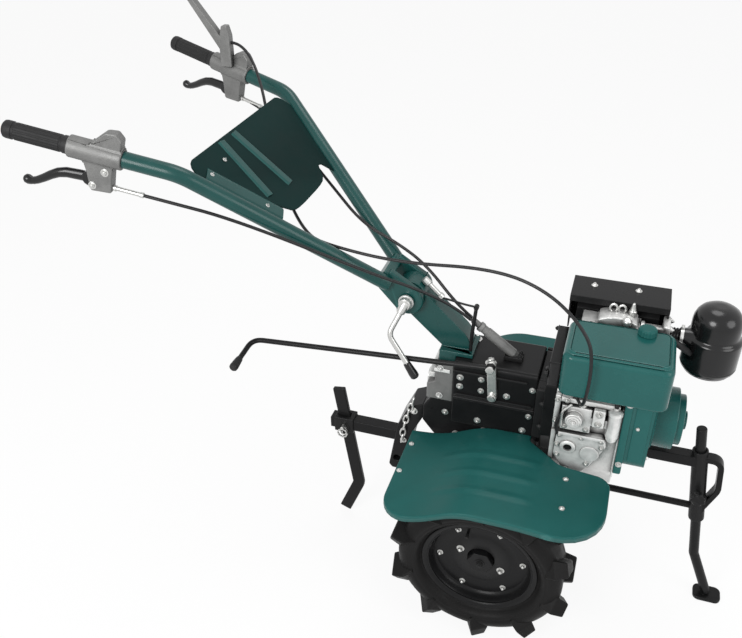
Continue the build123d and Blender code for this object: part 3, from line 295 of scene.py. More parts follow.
FINISHES = {
    "green_paint": dict(low=(0.008, 0.076, 0.070), high=(0.014, 0.106, 0.098), wear_and_highlight=(0.05, 0.17, 0.16),
                        roughness=(0.34, 0.54), coat=0.04, shine=0.14, grain=16, dent=0.08),
    # The gloss green's much lighter edge tone is partly wear and partly a painted highlight on the rounded
    # edges of the tank, blower housing and starter
    "gloss_green": dict(low=(0.008, 0.078, 0.072), high=(0.014, 0.106, 0.098), wear_and_highlight=(0.12, 0.26, 0.25),
                        roughness=(0.2, 0.34), coat=0.1, shine=0.22, grain=16, bump=0.04, dent=0.06),
    "deep_green": dict(low=(0.004, 0.046, 0.042), high=(0.008, 0.068, 0.062), wear_and_highlight=(0.04, 0.17, 0.16),
                       roughness=(0.22, 0.38), coat=0.06, shine=0.3, grain=16, dent=0.06),
    # Painted shade: the tray panel is much darker than the deep green of its ridges and near flange,
    # standing in for the shade on the bent main part of the tray, which is built flat
    "tray_paint": dict(low=(0.003, 0.013, 0.0125), high=(0.007, 0.024, 0.0225), wear_and_highlight=(0.02, 0.07, 0.065),
                       roughness=(0.42, 0.62), shine=0.05, grain=18, dent=0.08),
    "black_paint": dict(low=(0.005, 0.005, 0.0054), high=(0.012, 0.012, 0.0124), wear_and_highlight=(0.045, 0.045, 0.045),
                        roughness=(0.26, 0.44), coat=0.03, shine=0.12, grain=24, bump=0.12, fine=320),
    # The two alloys get a painted shade in their corners
    "alloy": dict(low=(0.42, 0.42, 0.41), high=(0.95, 0.95, 0.935), wear_and_highlight=(0.95, 0.95, 0.93),
                  roughness=(0.28, 0.5), metallic=0.4, grain=48, bump=0.4, fine=220, corner_shade=0.95),
    "dull_alloy": dict(low=(0.11, 0.11, 0.108), high=(0.24, 0.24, 0.235), wear_and_highlight=(0.38, 0.38, 0.37),
                       roughness=(0.4, 0.6), metallic=0.45, shine=0.35, grain=46, bump=0.3, fine=260,
                       corner_shade=0.7),
    "steel": dict(low=(0.44, 0.44, 0.43), high=(0.62, 0.62, 0.60), wear_and_highlight=(0.80, 0.80, 0.78),
                  roughness=(0.24, 0.4), metallic=0.85, grain=70, bump=0.08),
    "tyre": dict(low=(0.006, 0.006, 0.006), high=(0.013, 0.0125, 0.0125), wear_and_highlight=(0.03, 0.029, 0.028),
                 roughness=(0.36, 0.6), shine=0.1, grain=30, bump=0.25, fine=700),
    "rubber": dict(low=(0.007, 0.007, 0.008), high=(0.014, 0.014, 0.014), wear_and_highlight=(0.035, 0.035, 0.035),
                   roughness=(0.5, 0.66), shine=0.3, grain=40, bump=0.2, fine=900),
    "black_plastic": dict(low=(0.004, 0.004, 0.0043), high=(0.008, 0.008, 0.0084), wear_and_highlight=(0.02, 0.02, 0.02),
                          roughness=(0.14, 0.26), coat=0.2, shine=0.3, grain=20, bump=0.03),
    "cable": dict(low=(0.007, 0.007, 0.008), high=(0.012, 0.012, 0.013), wear_and_highlight=(0.03, 0.03, 0.03),
                  roughness=(0.3, 0.42), shine=0.3, grain=50),
}
MATERIALS = {name: surface(name, **values) for name, values in FINISHES.items()}


def dress_nodes():
    for node, slot in SLOT_OF.items():
        part = frame["nodes"][node]
        part.data.materials.clear()
        part.data.materials.append(MATERIALS[slot])


# Mesh building

# Rounding of a node's copy: points this near are one, faces this level are one, and edges over this are hard
MERGE_REACH = 0.01
FLAT_ANGLE = radians(0.6)
HARD_ANGLE = radians(26)


def turned(mesh, rows, base, axis, steps=48, closed=False, grooves=0):
    """Add a turned form. Rows give the place along the axis, the radius and the depth of any grooves."""
    along = Vector(axis).normalized()
    side = along.orthogonal().normalized()
    across = along.cross(side)
    rings = []
    for row in rows:
        depth = row[2] if len(row) > 2 else 0.0
        ring = []
        for count in range(steps):
            angle = 2 * pi * count / steps
            radius = row[1] - depth * (0.5 + 0.5 * cos(grooves * angle))
            reach = along * row[0] + (side * cos(angle) + across * sin(angle)) * radius
            ring.append(mesh.verts.new(base + reach * MM))
        rings.append(ring)
    pairs = list(zip(rings, rings[1:]))
    if closed:
        pairs.append((rings[-1], rings[0]))
    for low, high in pairs:
        for count in range(steps):
            following = (count + 1) % steps
            mesh.faces.new((low[count], low[following], high[following], high[count]))
    if not closed:
        mesh.faces.new(rings[0])
        mesh.faces.new(rings[-1])


def bar(mesh, points, radius, sides=16, closed=False):
    """Add a round bar along points in metres."""
    total = len(points)
    side = None
    rings = []
    for count, point in enumerate(points):
        before = points[count - 1] if count or closed else point
        after = points[(count + 1) % total] if count < total - 1 or closed else point
        way = (after - before).normalized()
        side = way.orthogonal() if side is None else side - way * side.dot(way)
        side.normalize()
        across = way.cross(side)
        turns = [2 * pi * step / sides for step in range(sides)]
        rings.append([mesh.verts.new(point + (side * cos(a) + across * sin(a)) * radius * MM)
                      for a in turns])
    pairs = list(zip(rings, rings[1:]))
    if closed:
        pairs.append((rings[-1], rings[0]))
    for low, high in pairs:
        for step in range(sides):
            following = (step + 1) % sides
            mesh.faces.new((low[step], low[following], high[following], high[step]))
    if not closed:
        mesh.faces.new(rings[0])
        mesh.faces.new(rings[-1])


def bent(points, reach, steps=8):
    """Points of a rigid rod with its corners bent over a reach in millimetres."""
    made = [points[0]]
    for before, corner, after in zip(points, points[1:], points[2:]):
        start = corner + (before - corner).normalized() * reach * MM
        end = corner + (after - corner).normalized() * reach * MM
        for count in range(steps + 1):
            t = count / steps
            made.append(start.lerp(corner, t).lerp(corner.lerp(end, t), t))
    made.append(points[-1])
    return made


def loop(mesh, centre, first, second, wire, steps=20):
    """Add a closed ring of wire round a centre, reaching as far as two vectors in millimetres."""
    turns = [2 * pi * count / steps for count in range(steps)]
    path = [centre + (Vector(first) * cos(a) + Vector(second) * sin(a)) * MM for a in turns]
    bar(mesh, path, wire, sides=8, closed=True)


def slab(mesh, low, high, bevel=1.0):
    """Add a block with rounded edges between two corners."""
    corners = [mesh.verts.new(spot(*(high[axis] if count >> axis & 1 else low[axis] for axis in range(3))))
               for count in range(8)]
    sides = ((0, 1, 3, 2), (4, 6, 7, 5), (0, 4, 5, 1), (2, 3, 7, 6), (0, 2, 6, 4), (1, 5, 7, 3))
    faces = [mesh.faces.new([corners[index] for index in side]) for side in sides]
    edges = {edge for face in faces for edge in face.edges}
    bmesh.ops.bevel(mesh, geom=list(edges), offset=bevel * MM, segments=2, profile=0.5, affect="EDGES")


def join_rings(mesh, rings):
    """Close a stack of rings of points with sides and two end faces."""
    mesh.faces.new(rings[0])
    mesh.faces.new(rings[-1])
    for low, high in zip(rings, rings[1:]):
        for step in range(len(low)):
            mesh.faces.new((low[step], low[step - 1], high[step - 1], high[step]))


def bolt(mesh, base, axis, radius, height):
    """Add a hexagon bolt head on its washer, with the end of its thread."""
    turned(mesh, [(-0.5, 1.55 * radius), (1.3, 1.55 * radius), (1.6, 1.4 * radius)], base, axis, 20)
    turned(mesh, [(1.3, radius), (height - 0.2 * radius, radius), (height, 0.82 * radius)], base, axis, 6)
    turned(mesh, [(height - 1, 0.5 * radius), (height + 1.5, 0.5 * radius), (height + 2, 0.4 * radius)],
           base, axis, 12)


def add_piece(name, mesh, slot, body, sharp=38.0, finish=None):
    """Turn built mesh into a piece of the object that rides on a body. A finish takes the slot's place."""
    bmesh.ops.recalc_face_normals(mesh, faces=mesh.faces[:])
    data = bpy.data.meshes.new(name)
    mesh.to_mesh(data)
    mesh.free()
    data.shade_smooth()
    data.set_sharp_from_angle(angle=radians(sharp))
    data.materials.append(MATERIALS[finish or slot])
    piece = link_object(name, data)
    even = piece.modifiers.new("even", "WEIGHTED_NORMAL")
    even.keep_sharp = True
    if body:
        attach(piece, body)
    return piece


def stand_for(node, mesh, sharp=38.0, finish=None):
    """Make a piece that takes a node's place, body and finish."""
    piece = add_piece(node + "_skin", mesh, SLOT_OF[node], BODY_OF[node], sharp, finish)
    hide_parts(node)
    return piece


def rounded_copy(node, width, finish=None):
    """Copy a node with its sharp edges rounded, more carefully where the rounding would leave its box."""
    low, high = (Vector(corner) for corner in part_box(node))
    for careful in (False, True):
        mesh = bmesh.new()
        mesh.from_mesh(frame["nodes"][node].data)
        bmesh.ops.remove_doubles(mesh, verts=mesh.verts[:], dist=MERGE_REACH * MM)
        bmesh.ops.dissolve_limit(mesh, angle_limit=FLAT_ANGLE, verts=mesh.verts[:], edges=mesh.edges[:])
        hard = [edge for edge in mesh.edges if edge.is_manifold and edge.calc_face_angle() > HARD_ANGLE]
        bmesh.ops.bevel(mesh, geom=hard, offset=width * MM, segments=3, profile=0.5, affect="EDGES",
                        clamp_overlap=careful)
        if all(low[axis] - MM < vert.co[axis] < high[axis] + MM for vert in mesh.verts for axis in range(3)):
            break
    return stand_for(node, mesh, finish=finish)


# Wheels

WHEEL_Y = 228
WHEEL_STEPS = 96
# columns: distance from the wheel's middle plane, radius
CARCASS = [(26.8, 113.4), (27, 125.6), (29.4, 129.6), (34, 132), (39.4, 134.8), (43.8, 138.6), (46.4, 143),
           (47, 146), (46.4, 148), (48, 151.4), (48.6, 156), (47.4, 162), (45, 168), (41, 174), (36, 178.6),
           (30, 180.5), (0, 181)]
# columns: distance from the wheel's middle plane, radius
RIM_SIDE = [(27, 113), (27.2, 122), (27.9, 125.6), (29.3, 127), (30.7, 126), (31, 123), (29.8, 118.5),
            (27, 115), (23, 112.4), (18, 110.6), (12, 109), (7, 106.5), (4, 102.5), (4, 84), (2.2, 80),
            (2.2, 66), (4, 62), (4, 30.5)]
LUG_COUNT = 10
LUG_OFFSET = 24
LUG_SLANT = radians(33)
LUG_ROUND = 3.2
# columns: radius, outer reach, inner reach, outer half width, inner half width
LUG_RINGS = [(148, 20, 29, 20, 15.5), (172, 33, 29, 21, 15.5), (200, 28.5, 24, 16, 10.5)]
# Nuts on the disc: places as radius and turn in degrees
DISC_FACE = 3.6
RIM_NUT_R = 92
RIM_NUT_COUNT = 6
RIM_NUT_TURN = 6
HUB_NUT_R = 50
HUB_NUT_TURNS = (159, -26)
HUB_FACE = 18
STEM_R = 84
STEM_TURN = 112
STEM_FOOT = 3
# columns: place along the stem, radius
STEM = [(0, 3), (14, 3), (14, 4), (22, 4), (24, 3)]


def wheel_spot(hand, radius, degrees, out):
    """Point on a wheel: radius and turn about the axle, and distance out from the middle plane."""
    turn = radians(degrees)
    return spot(radius * cos(turn), hand * (WHEEL_Y + out), radius * sin(turn))


def add_lug(mesh, hand, outer, turn):
    """Add a slanted lug on the outer (1) or the inner (-1) half of the tread."""
    outward = Vector((cos(turn), 0, sin(turn)))
    around = Vector((-sin(turn), 0, cos(turn)))
    way = around * sin(LUG_SLANT) + Vector((0, hand * outer * cos(LUG_SLANT), 0))
    across = way.cross(outward)
    root = spot(0, hand * (WHEEL_Y + outer * LUG_OFFSET), 0)
    rings = []
    for height, far, near, far_half, near_half in LUG_RINGS:
        corners = [(far, far_half), (-near, near_half), (-near, -near_half), (far, -far_half)]
        rings.append([mesh.verts.new(root + (outward * height + way * a + across * b) * MM)
                      for a, b in corners])
    join_rings(mesh, rings)


def make_tyre(node, hand):
    mesh = bmesh.new()
    rows = CARCASS + [(-w, r) for w, r in reversed(CARCASS[:-1])]
    turned(mesh, rows, wheel_spot(hand, 0, 0, 0), (0, hand, 0), WHEEL_STEPS, closed=True)
    stand_for(node, mesh, 50)
    lugs = bmesh.new()
    for outer, shift in ((1, 0.0), (-1, 0.5)):
        for count in range(LUG_COUNT):
            add_lug(lugs, hand, outer, 2 * pi * (count + shift) / LUG_COUNT - pi / 2)
    bmesh.ops.bevel(lugs, geom=lugs.edges[:], offset=LUG_ROUND * MM, segments=3, profile=0.5, affect="EDGES")
    add_piece(node + "_lugs", lugs, "tyre", BODY_OF[node])


def make_rim(node, hand):
    out = (0, hand, 0)
    mesh = bmesh.new()
    rows = RIM_SIDE + [(-w, r) for w, r in reversed(RIM_SIDE)]
    turned(mesh, rows, wheel_spot(hand, 0, 0, 0), out, WHEEL_STEPS, closed=True)
    stand_for(node, mesh, 32)
    nuts = bmesh.new()
    for count in range(RIM_NUT_COUNT):
        degrees = RIM_NUT_TURN + 360 / RIM_NUT_COUNT * count
        bolt(nuts, wheel_spot(hand, RIM_NUT_R, degrees, DISC_FACE), out, 4.4, 6)
    for degrees in HUB_NUT_TURNS:
        bolt(nuts, wheel_spot(hand, HUB_NUT_R, degrees, DISC_FACE), out, 5.6, 8)
    add_piece(node + "_nuts", nuts, "steel", BODY_OF[node])
    dark = bmesh.new()
    bolt(dark, wheel_spot(hand, 0, 0, HUB_FACE), out, 7, 8)
    turned(dark, STEM, wheel_spot(hand, STEM_R, STEM_TURN, STEM_FOOT), out, 12)
    add_piece(node + "_fittings", dark, "black_paint", BODY_OF[node])


for word, hand in HANDS:
    make_tyre("tyre_" + word, hand)
    make_rim("rim_" + word, hand)

# Fenders: arched sheet with soft pressed ribs and a turned-down lip
CASE_HALF = 62
CASE_FRONT = 62
FENDER_BACK = -208
FENDER_FRONT = 240
FENDER_OUT = 335
FENDER_SHEET = 3
FENDER_BEND = 3
FENDER_LIP = 14.0
FENDER_GRID = 7
# columns: place along the machine, height of the sheet's top
ARCH = [(-218, 176), (-132, 185), (-42, 230), (72, 231), (250, 214)]
ARCH_EASE = 30
EASE_STEP = 6
# columns: place along the machine, place across, corner radius
PLAN = [(FENDER_BACK, -CASE_HALF, 0), (FENDER_BACK, -FENDER_OUT, 60), (FENDER_FRONT, -FENDER_OUT, 105),
        (FENDER_FRONT, -132, 30), (132, -132, 40), (CASE_FRONT, -80, 12), (CASE_FRONT, -CASE_HALF, 0)]
# columns: place across, place along of the back end and of the front end
RIBS = [(-150, -120, 110), (-206, -120, 110), (-262, -120, 110)]
RIB_HIGH = 3.0
RIB_HALF = 9.0
RIB_FADE = 36.0


def arch_height(x):
    """Height of the fender's sheet, with its bends eased."""
    total = 0.0
    shifts = range(-ARCH_EASE, ARCH_EASE + 1, EASE_STEP)
    for shift in shifts:
        place = min(max(x + shift, ARCH[0][0]), ARCH[-1][0])
        for (back, low), (front, high) in zip(ARCH, ARCH[1:]):
            if back <= place <= front:
                total += low + (high - low) * (place - back) / (front - back)
                break
    return total / len(shifts)


def rib_height(x, y):
    """Rise of the pressed ribs over the fender's sheet."""
    rise = 0.0
    for across, back, front in RIBS:
        ends = min(max(min(x - back, front - x) / RIB_FADE, 0.0), 1.0)
        off = min(abs(y - across) / RIB_HALF, 1.0)
        rise += RIB_HIGH * ends * (0.5 + 0.5 * cos(pi * off))
    return rise


def rounded_plan(corners, steps=8):
    """Outline of corners with their radii."""
    made = []
    for count, (x, y, radius) in enumerate(corners):
        corner = Vector((x, y))
        if not radius:
            made.append(corner)
            continue
        before = (Vector(corners[count - 1][:2]) - corner).normalized()
        after = (Vector(corners[(count + 1) % len(corners)][:2]) - corner).normalized()
        half = before.angle(after) / 2
        centre = corner + (before + after).normalized() * radius / sin(half)
        start = corner + before * radius / tan(half) - centre
        end = corner + after * radius / tan(half) - centre
        for step in range(steps + 1):
            made.append(centre + start.lerp(end, step / steps).normalized() * radius)
    return made


def make_fender(node, hand):
    mesh = bmesh.new()
    mesh.faces.new([mesh.verts.new((p.x, p.y, 0)) for p in rounded_plan(PLAN)])
    rim = mesh.edges[:]
    grown = bmesh.ops.extrude_edge_only(mesh, edges=rim)["geom"]
    for item in grown:
        if isinstance(item, bmesh.types.BMVert):
            item.co.z = -FENDER_LIP
    bmesh.ops.bevel(mesh, geom=rim, offset=FENDER_BEND, segments=3, profile=0.5, affect="EDGES")
    for normal, low, high in (((1, 0, 0), FENDER_BACK, FENDER_FRONT), ((0, 1, 0), -FENDER_OUT, -CASE_HALF)):
        for place in range(low + FENDER_GRID, high, FENDER_GRID):
            everything = mesh.verts[:] + mesh.edges[:] + mesh.faces[:]
            bmesh.ops.bisect_plane(mesh, geom=everything, plane_co=Vector(normal) * place, plane_no=normal)
    for vert in mesh.verts:
        x, y, z = vert.co
        vert.co = spot(x, -hand * y, z + arch_height(x) + rib_height(x, y))
    piece = stand_for(node, mesh, 60)
    if sum(face.normal.z * face.area for face in piece.data.polygons) < 0:
        piece.data.flip_normals()
    sheet = piece.modifiers.new("sheet", "SOLIDIFY")
    sheet.thickness = FENDER_SHEET * MM
    sheet.offset = -1


for word, hand in HANDS:
    make_fender("fender_" + word, hand)

# Nodes that keep their form and get rounded edges
# columns: node, rounding in millimetres, finish where it isn't the node's own
ROUNDED = [
    ("hub_right", 2), ("hub_left", 2), ("gear_case_upper", 3.5), ("bell_housing", 3), ("axle_case", 4),
    ("shift_arm", 2.5), ("crankcase", 3), ("side_cover", 4), ("injection_pump", 2), ("cylinder", 0.8),
    ("cylinder_head", 3), ("tank_brackets", 1), ("muffler", 4), ("muffler_guard", 0.8), ("engine_bed", 2),
    ("hitch_bracket", 3), ("hitch_tube", 2), ("drag_stake", 2.5), ("stake_pin", 0.8), ("stand_frame", 2),
    ("stand_leg", 2.5),
    ("lever_housing_right", 3, "dull_alloy"), ("lever_housing_left", 3, "dull_alloy"),
    ("throttle_lever", 1.5, "dull_alloy"), ("gear_case_rear", 3, "dull_alloy"),
    ("fuel_tank", 4.5, "gloss_green"), ("blower_housing", 2, "gloss_green"),
    ("recoil_starter", 2, "gloss_green"), ("handle_bracket", 2, "deep_green"),
    ("handle_hub", 4, "deep_green"), ("handle_tube_right", 0.8, "deep_green"),
    ("handle_tube_left", 0.8, "deep_green"),
]
for row in ROUNDED:
    rounded_copy(*row)


# Round pieces

def smooth_line(name, route):
    """Points of the smooth curve that a route's control points give."""
    curve = bpy.data.curves.new(name, "CURVE")
    curve.dimensions = "3D"
    spline = curve.splines.new("NURBS")
    spline.points.add(len(route) - 1)
    for point, place in zip(spline.points, route):
        point.co = (*spot(*place), 1)
    spline.order_u = 3
    spline.use_endpoint_u = True
    spline.resolution_u = 14
    holder = link_object(name, curve)
    bpy.context.view_layer.update()
    line = bpy.data.meshes.new_from_object(holder)
    points = [vertex.co.copy() for vertex in line.vertices]
    bpy.data.objects.remove(holder)
    bpy.data.curves.remove(curve)
    bpy.data.meshes.remove(line)
    return points


def make_round(node, rows, place, axis, steps=48, grooves=0, sharp=38.0):
    mesh = bmesh.new()
    turned(mesh, rows, spot(*place), axis, steps, grooves=grooves)
    return stand_for(node, mesh, sharp)


# Gear lever, clamp crank and clutch rod
PIVOT_X = -232
PIVOT_Z = 512
NUT_OUT = 47
LEVER_R = 6
LEVER_BEND = 26
LEVER_PATH = [(-38, -79, 402), (-587, -79, 363), (-590, -154, 352)]
CRANK_BEND = 16
CRANK_PATH = [(PIVOT_X, -NUT_OUT - 11, PIVOT_Z), (-258, -92, 452), (-214, -96, 386)]
ROD_FOOT = (0, -10, 400)
ROD_WAY = (-98, 0, 72)


def run_of(path, count):
    """Direction of one straight run of a path."""
    return Vector(path[count + 1]) - Vector(path[count])


def make_levers():
    lever = bmesh.new()
    bar(lever, bent([spot(*p) for p in LEVER_PATH], LEVER_BEND), LEVER_R)
    turned(lever, [(0, 8), (1, 9.5), (12, 9.5), (14, 8)], spot(-38, -72, 402), NEAR, 24)
    stand_for("gear_lever", lever)
    make_round("gear_lever_grip", [(-10, 6.6), (-8, 7.6), (0, 8.6), (18, 10), (23, 9.4), (26, 6.5)],
               LEVER_PATH[-1], run_of(LEVER_PATH, 1), 24)
    near_nut = spot(PIVOT_X, -NUT_OUT, PIVOT_Z)
    far_nut = spot(PIVOT_X, NUT_OUT, PIVOT_Z)
    crank = bmesh.new()
    bar(crank, bent([spot(*p) for p in CRANK_PATH], CRANK_BEND), LEVER_R)
    turned(crank, [(0, 8), (2 * NUT_OUT, 8)], near_nut, FAR, 24)
    turned(crank, [(0, 15), (1.5, 17), (9, 17), (10.5, 15)], far_nut, FAR, 6)
    turned(crank, [(0, 15.5), (1, 16.8), (5, 16.8), (6, 14), (16, 13.4), (18, 11)], near_nut, NEAR, 32)
    turned(crank, [(-4, 9.5), (2, 10.5), (20, 9.6), (23, 7.5)], spot(*CRANK_PATH[0]),
           run_of(CRANK_PATH, 0), 24)
    stand_for("clamp_crank", crank)
    make_round("crank_knob", [(-4, 6.8), (-2, 8), (3, 8.6), (26, 10), (33, 9.6), (36, 7)], CRANK_PATH[-1],
               run_of(CRANK_PATH, 1), 24)


def make_clutch_rod():
    mesh = bmesh.new()
    rows = [(-6, 8), (0, 9), (3, 11), (76, 11), (79, 9.4), (89, 9.4), (90, 11), (98, 11), (99, 7), (116, 7),
            (118, 5), (122, 5)]
    turned(mesh, rows, spot(*ROD_FOOT), ROD_WAY, 24)
    stand_for("clutch_rod", mesh, finish="dull_alloy")
    arm = bmesh.new()
    slab(arm, (-20, -25, 390), (20, 5, 400), 2)
    bolt(arm, spot(14, -18, 400), UP, 4, 5)
    bolt(arm, spot(14, -2, 400), UP, 4, 5)
    bar(arm, bent([spot(-93, -25, 386), spot(-92, -25, 440), spot(-86, -25, 514)], 12), 4)
    turned(arm, [(-6, 4.6), (-5, 5.4), (5, 5.4), (6, 4.6)], spot(-86, -25, 512), FAR, 20)
    turned(arm, [(-10, 9), (-8, 10), (4, 10), (6, 8)], spot(-93, -25, 390), UP, 24)
    add_piece("clutch_arm", arm, "black_paint", "chassis")
    link = bmesh.new()
    link_route = [(-163, -4, 508), (-140, -10, 509), (-112, -18, 509), (-86, -25, 512)]
    bar(link, smooth_line("clutch_link_line", link_route), 2.4, 10)
    add_piece("clutch_link", link, "cable", "chassis")


# Air cleaner on the machine's upper front corner
CAN_X = 386
CAN_Y = 30
INTAKE_Y = 16
INTAKE_Z = 496
# columns: height, radius
CAN = [(410, 18), (411, 27), (416, 38), (423, 47), (431, 53), (437, 55), (439, 54.2), (441, 55), (496, 55),
       (500, 54.2), (503, 51.5), (505, 48.6), (509, 47.4), (512, 48), (530, 48), (542, 46.8), (552, 43),
       (560, 37), (566, 28), (569, 18), (570, 9)]
# columns: place along the machine, radius
NECK = [(300, 14.5), (303, 16.5), (306, 14.5), (309, 16.5), (312, 14.5), (315, 16.5), (318, 15), (320, 18),
        (328, 18), (330, 19), (350, 20)]


def make_air_cleaner():
    can_foot = spot(CAN_X, CAN_Y, 0)
    intake = spot(0, INTAKE_Y, INTAKE_Z)
    mesh = bmesh.new()
    turned(mesh, CAN, can_foot, UP, 72)
    turned(mesh, NECK, intake, FORWARD, 32)
    stand_for("air_cleaner", mesh, 40)
    bands = bmesh.new()
    turned(bands, [(417.5, 40.4), (421.5, 46), (422.3, 46.8), (421.8, 44), (418.4, 39)], can_foot, UP, 72,
           closed=True)
    turned(bands, [(321, 18.2), (321, 19.4), (327, 19.4), (327, 18.2)], intake, FORWARD, 32, closed=True)
    slab(bands, (321, INTAKE_Y - 5, INTAKE_Z + 18), (327, INTAKE_Y + 5, INTAKE_Z + 25), 1)
    add_piece("air_cleaner_bands", bands, "steel", "chassis")
    pipe = bmesh.new()
    turned(pipe, [(244, 19), (250, 19), (251, 15), (286, 15)], intake, FORWARD, 32)
    slab(pipe, (286, INTAKE_Y - 25, INTAKE_Z - 29), (300, INTAKE_Y + 25, INTAKE_Z + 29), 4)
    for bolt_y, bolt_z in ((-17, -21), (17, -21), (-17, 21), (17, 21)):
        bolt(pipe, spot(300, INTAKE_Y + bolt_y, INTAKE_Z + bolt_z), FORWARD, 4, 5)
    stand_for("intake_pipe", pipe)


# Handlebar ends, in the frame of each bar
BAR_FROM = (-712, 269, 858)
BAR_WAY = (-100, 19, 24)
GRIP_FROM = 103
GRIP_STEPS = 72
GRIP_GROOVES = 18
# columns: place along the grip, radius, depth of the grooves
GRIP = [(0, 16, 0), (0.5, 17, 0), (9, 17, 0), (10, 16, 0), (14, 15.6, 0), (15, 16.6, 0.2), (18, 16.6, 1.3),
        (96, 16.6, 1.3), (99, 16.6, 0.2), (100, 15.6, 0), (104, 15.6, 0), (105, 17, 0), (116, 17, 0),
        (120, 16, 0), (123, 12.5, 0), (124, 8, 0)]
LEVER_STEPS = 20
# columns: place along the bar, height over it, half height, half thickness
HAND_LEVER = [(50, -52, 9, 6), (56, -52.5, 10.4, 7), (80, -53.5, 10.6, 7.6), (106, -55.5, 10.2, 8),
              (122, -60.5, 9.4, 8), (136, -69, 8.6, 7.8), (150, -79.5, 8, 7.4), (163, -88, 7.5, 7),
              (176, -93, 7.2, 6.8), (182, -95, 6.4, 6), (185, -96, 4, 4)]


def bar_spot(hand, along, up, out=0.0):
    """Point beside a handlebar end: along the bar, over it and outward from it, in millimetres."""
    way = Vector((BAR_WAY[0], hand * BAR_WAY[1], BAR_WAY[2])).normalized()
    rise = (Vector((0, 0, 1)) - way * way.z).normalized()
    side = way.cross(rise)
    side *= hand if side.y > 0 else -hand
    return spot(BAR_FROM[0], hand * BAR_FROM[1], BAR_FROM[2]) + (way * along + rise * up + side * out) * MM


def bar_way(hand, along, up, out=0.0):
    return bar_spot(hand, along, up, out) - bar_spot(hand, 0, 0)


def make_hand_lever(word, hand):
    mesh = bmesh.new()
    rings = []
    for count, (along, up, half, thick) in enumerate(HAND_LEVER):
        before = HAND_LEVER[max(count - 1, 0)]
        after = HAND_LEVER[min(count + 1, len(HAND_LEVER) - 1)]
        way = Vector((after[0] - before[0], after[1] - before[1])).normalized()
        ring = []
        for step in range(LEVER_STEPS):
            turn = 2 * pi * step / LEVER_STEPS
            rise = half * sin(turn)
            place = bar_spot(hand, along - way.y * rise, up + way.x * rise, thick * cos(turn))
            ring.append(mesh.verts.new(place))
        rings.append(ring)
    join_rings(mesh, rings)
    stand_for("hand_lever_" + word, mesh)


def make_handle_end(word, hand):
    along_bar = bar_way(hand, 1, 0)
    outward = bar_way(hand, 0, 0, 1)
    grip = bmesh.new()
    turned(grip, GRIP, bar_spot(hand, GRIP_FROM, 0), along_bar, GRIP_STEPS, grooves=GRIP_GROOVES)
    stand_for("grip_" + word, grip, 46)
    steel = bmesh.new()
    turned(steel, [(-3, 17.4), (-2, 18.6), (2, 18.6), (3, 17.4)], bar_spot(hand, GRIP_FROM - 4, 0),
           along_bar, 40)
    for along, up in ((30, -30), (52, -62)):
        bolt(steel, bar_spot(hand, along, up, 11.5), outward, 5, 5)
    turned(steel, [(0, 6), (8, 6), (8, 4.4), (52, 4.4), (54, 5.4), (60, 5.4), (61, 4.2)],
           bar_spot(hand, 18, -62), bar_way(hand, -1, 0), 20)
    add_piece("lever_fittings_" + word, steel, "steel", "handlebar")
    tip = bmesh.new()
    turned(tip, [(-10, 6), (-5, 6.6), (-1, 8), (4, 9.4), (9, 8.6), (12.5, 5)], bar_spot(hand, 176, -91),
           bar_way(hand, 22, 2), 24)
    turned(tip, [(-9, 13), (-8, 14.5), (8, 14.5), (9, 13)], bar_spot(hand, 60, -52), outward, 32)
    add_piece("lever_tip_" + word, tip, "black_plastic", "handlebar")


make_levers()
make_clutch_rod()
make_air_cleaner()
make_round("tank_cap",
           [(0, 16, 0), (1, 18.5, 0.6), (10, 18.2, 1.2), (12.5, 16.5, 0.6), (14, 13, 0), (15, 8, 0)],
           (256, -52, 531), UP, 72, 18)
make_round("stand_knob", [(-12, 6), (-1, 6), (0, 14, 1), (2, 17, 2.5), (11, 17, 2.5), (13, 14, 1)],
           (428, -27, 124), NEAR, 64, 8)
for word, hand in HANDS:
    make_handle_end(word, hand)
    make_hand_lever(word, hand)

# Cables: control points of each route
RIGHT_ROUTE = [(-741.3, -274.6, 801.3), (-655.2, -258.2, 780.7), (-520, -222, 742), (-300, -98, 598),
               (-200, -52, 548), (-130.6, -15.5, 495.9), (-98.3, -15.5, 472.2)]
LEFT_ROUTE = [(-741.3, 274.6, 801.3), (-655.2, 258.2, 780.7), (-470, 150, 664), (-366, 64, 622),
              (-282, 54, 592), (-212, 40, 556), (-130.6, -4.5, 495.9), (-98.3, -4.5, 472.2)]
THROTTLE_ROUTE = [(-748, 262, 934), (-690, 262, 934), (-560, 60, 720), (-450, -70, 650), (-380, -84, 638),
                  (-232, -98, 632), (-40, -122, 664), (70, -150, 648), (150, -178, 588), (166, -190, 530),
                  (162, -188, 424), (144, -126, 405), (140, -115, 400), (140, -115, 378)]
# columns: node, route, place along the machine where the chassis lets go and where the handlebar takes over
CABLES = [("clutch_cable_right", RIGHT_ROUTE, -150, -330), ("clutch_cable_left", LEFT_ROUTE, -150, -330),
          ("throttle_cable", THROTTLE_ROUTE, 60, -420)]
CABLE_R = 3.4


def make_cables():
    for node, route, chassis_x, handle_x in CABLES:
        mesh = bmesh.new()
        bar(mesh, smooth_line(node + "_line", route), CABLE_R, 10)
        piece = add_piece(node + "_skin", mesh, SLOT_OF[node], None)
        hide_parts(node)
        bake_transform(piece)


make_cables()


# Fittings, fasteners and trim, one piece for each finish and body

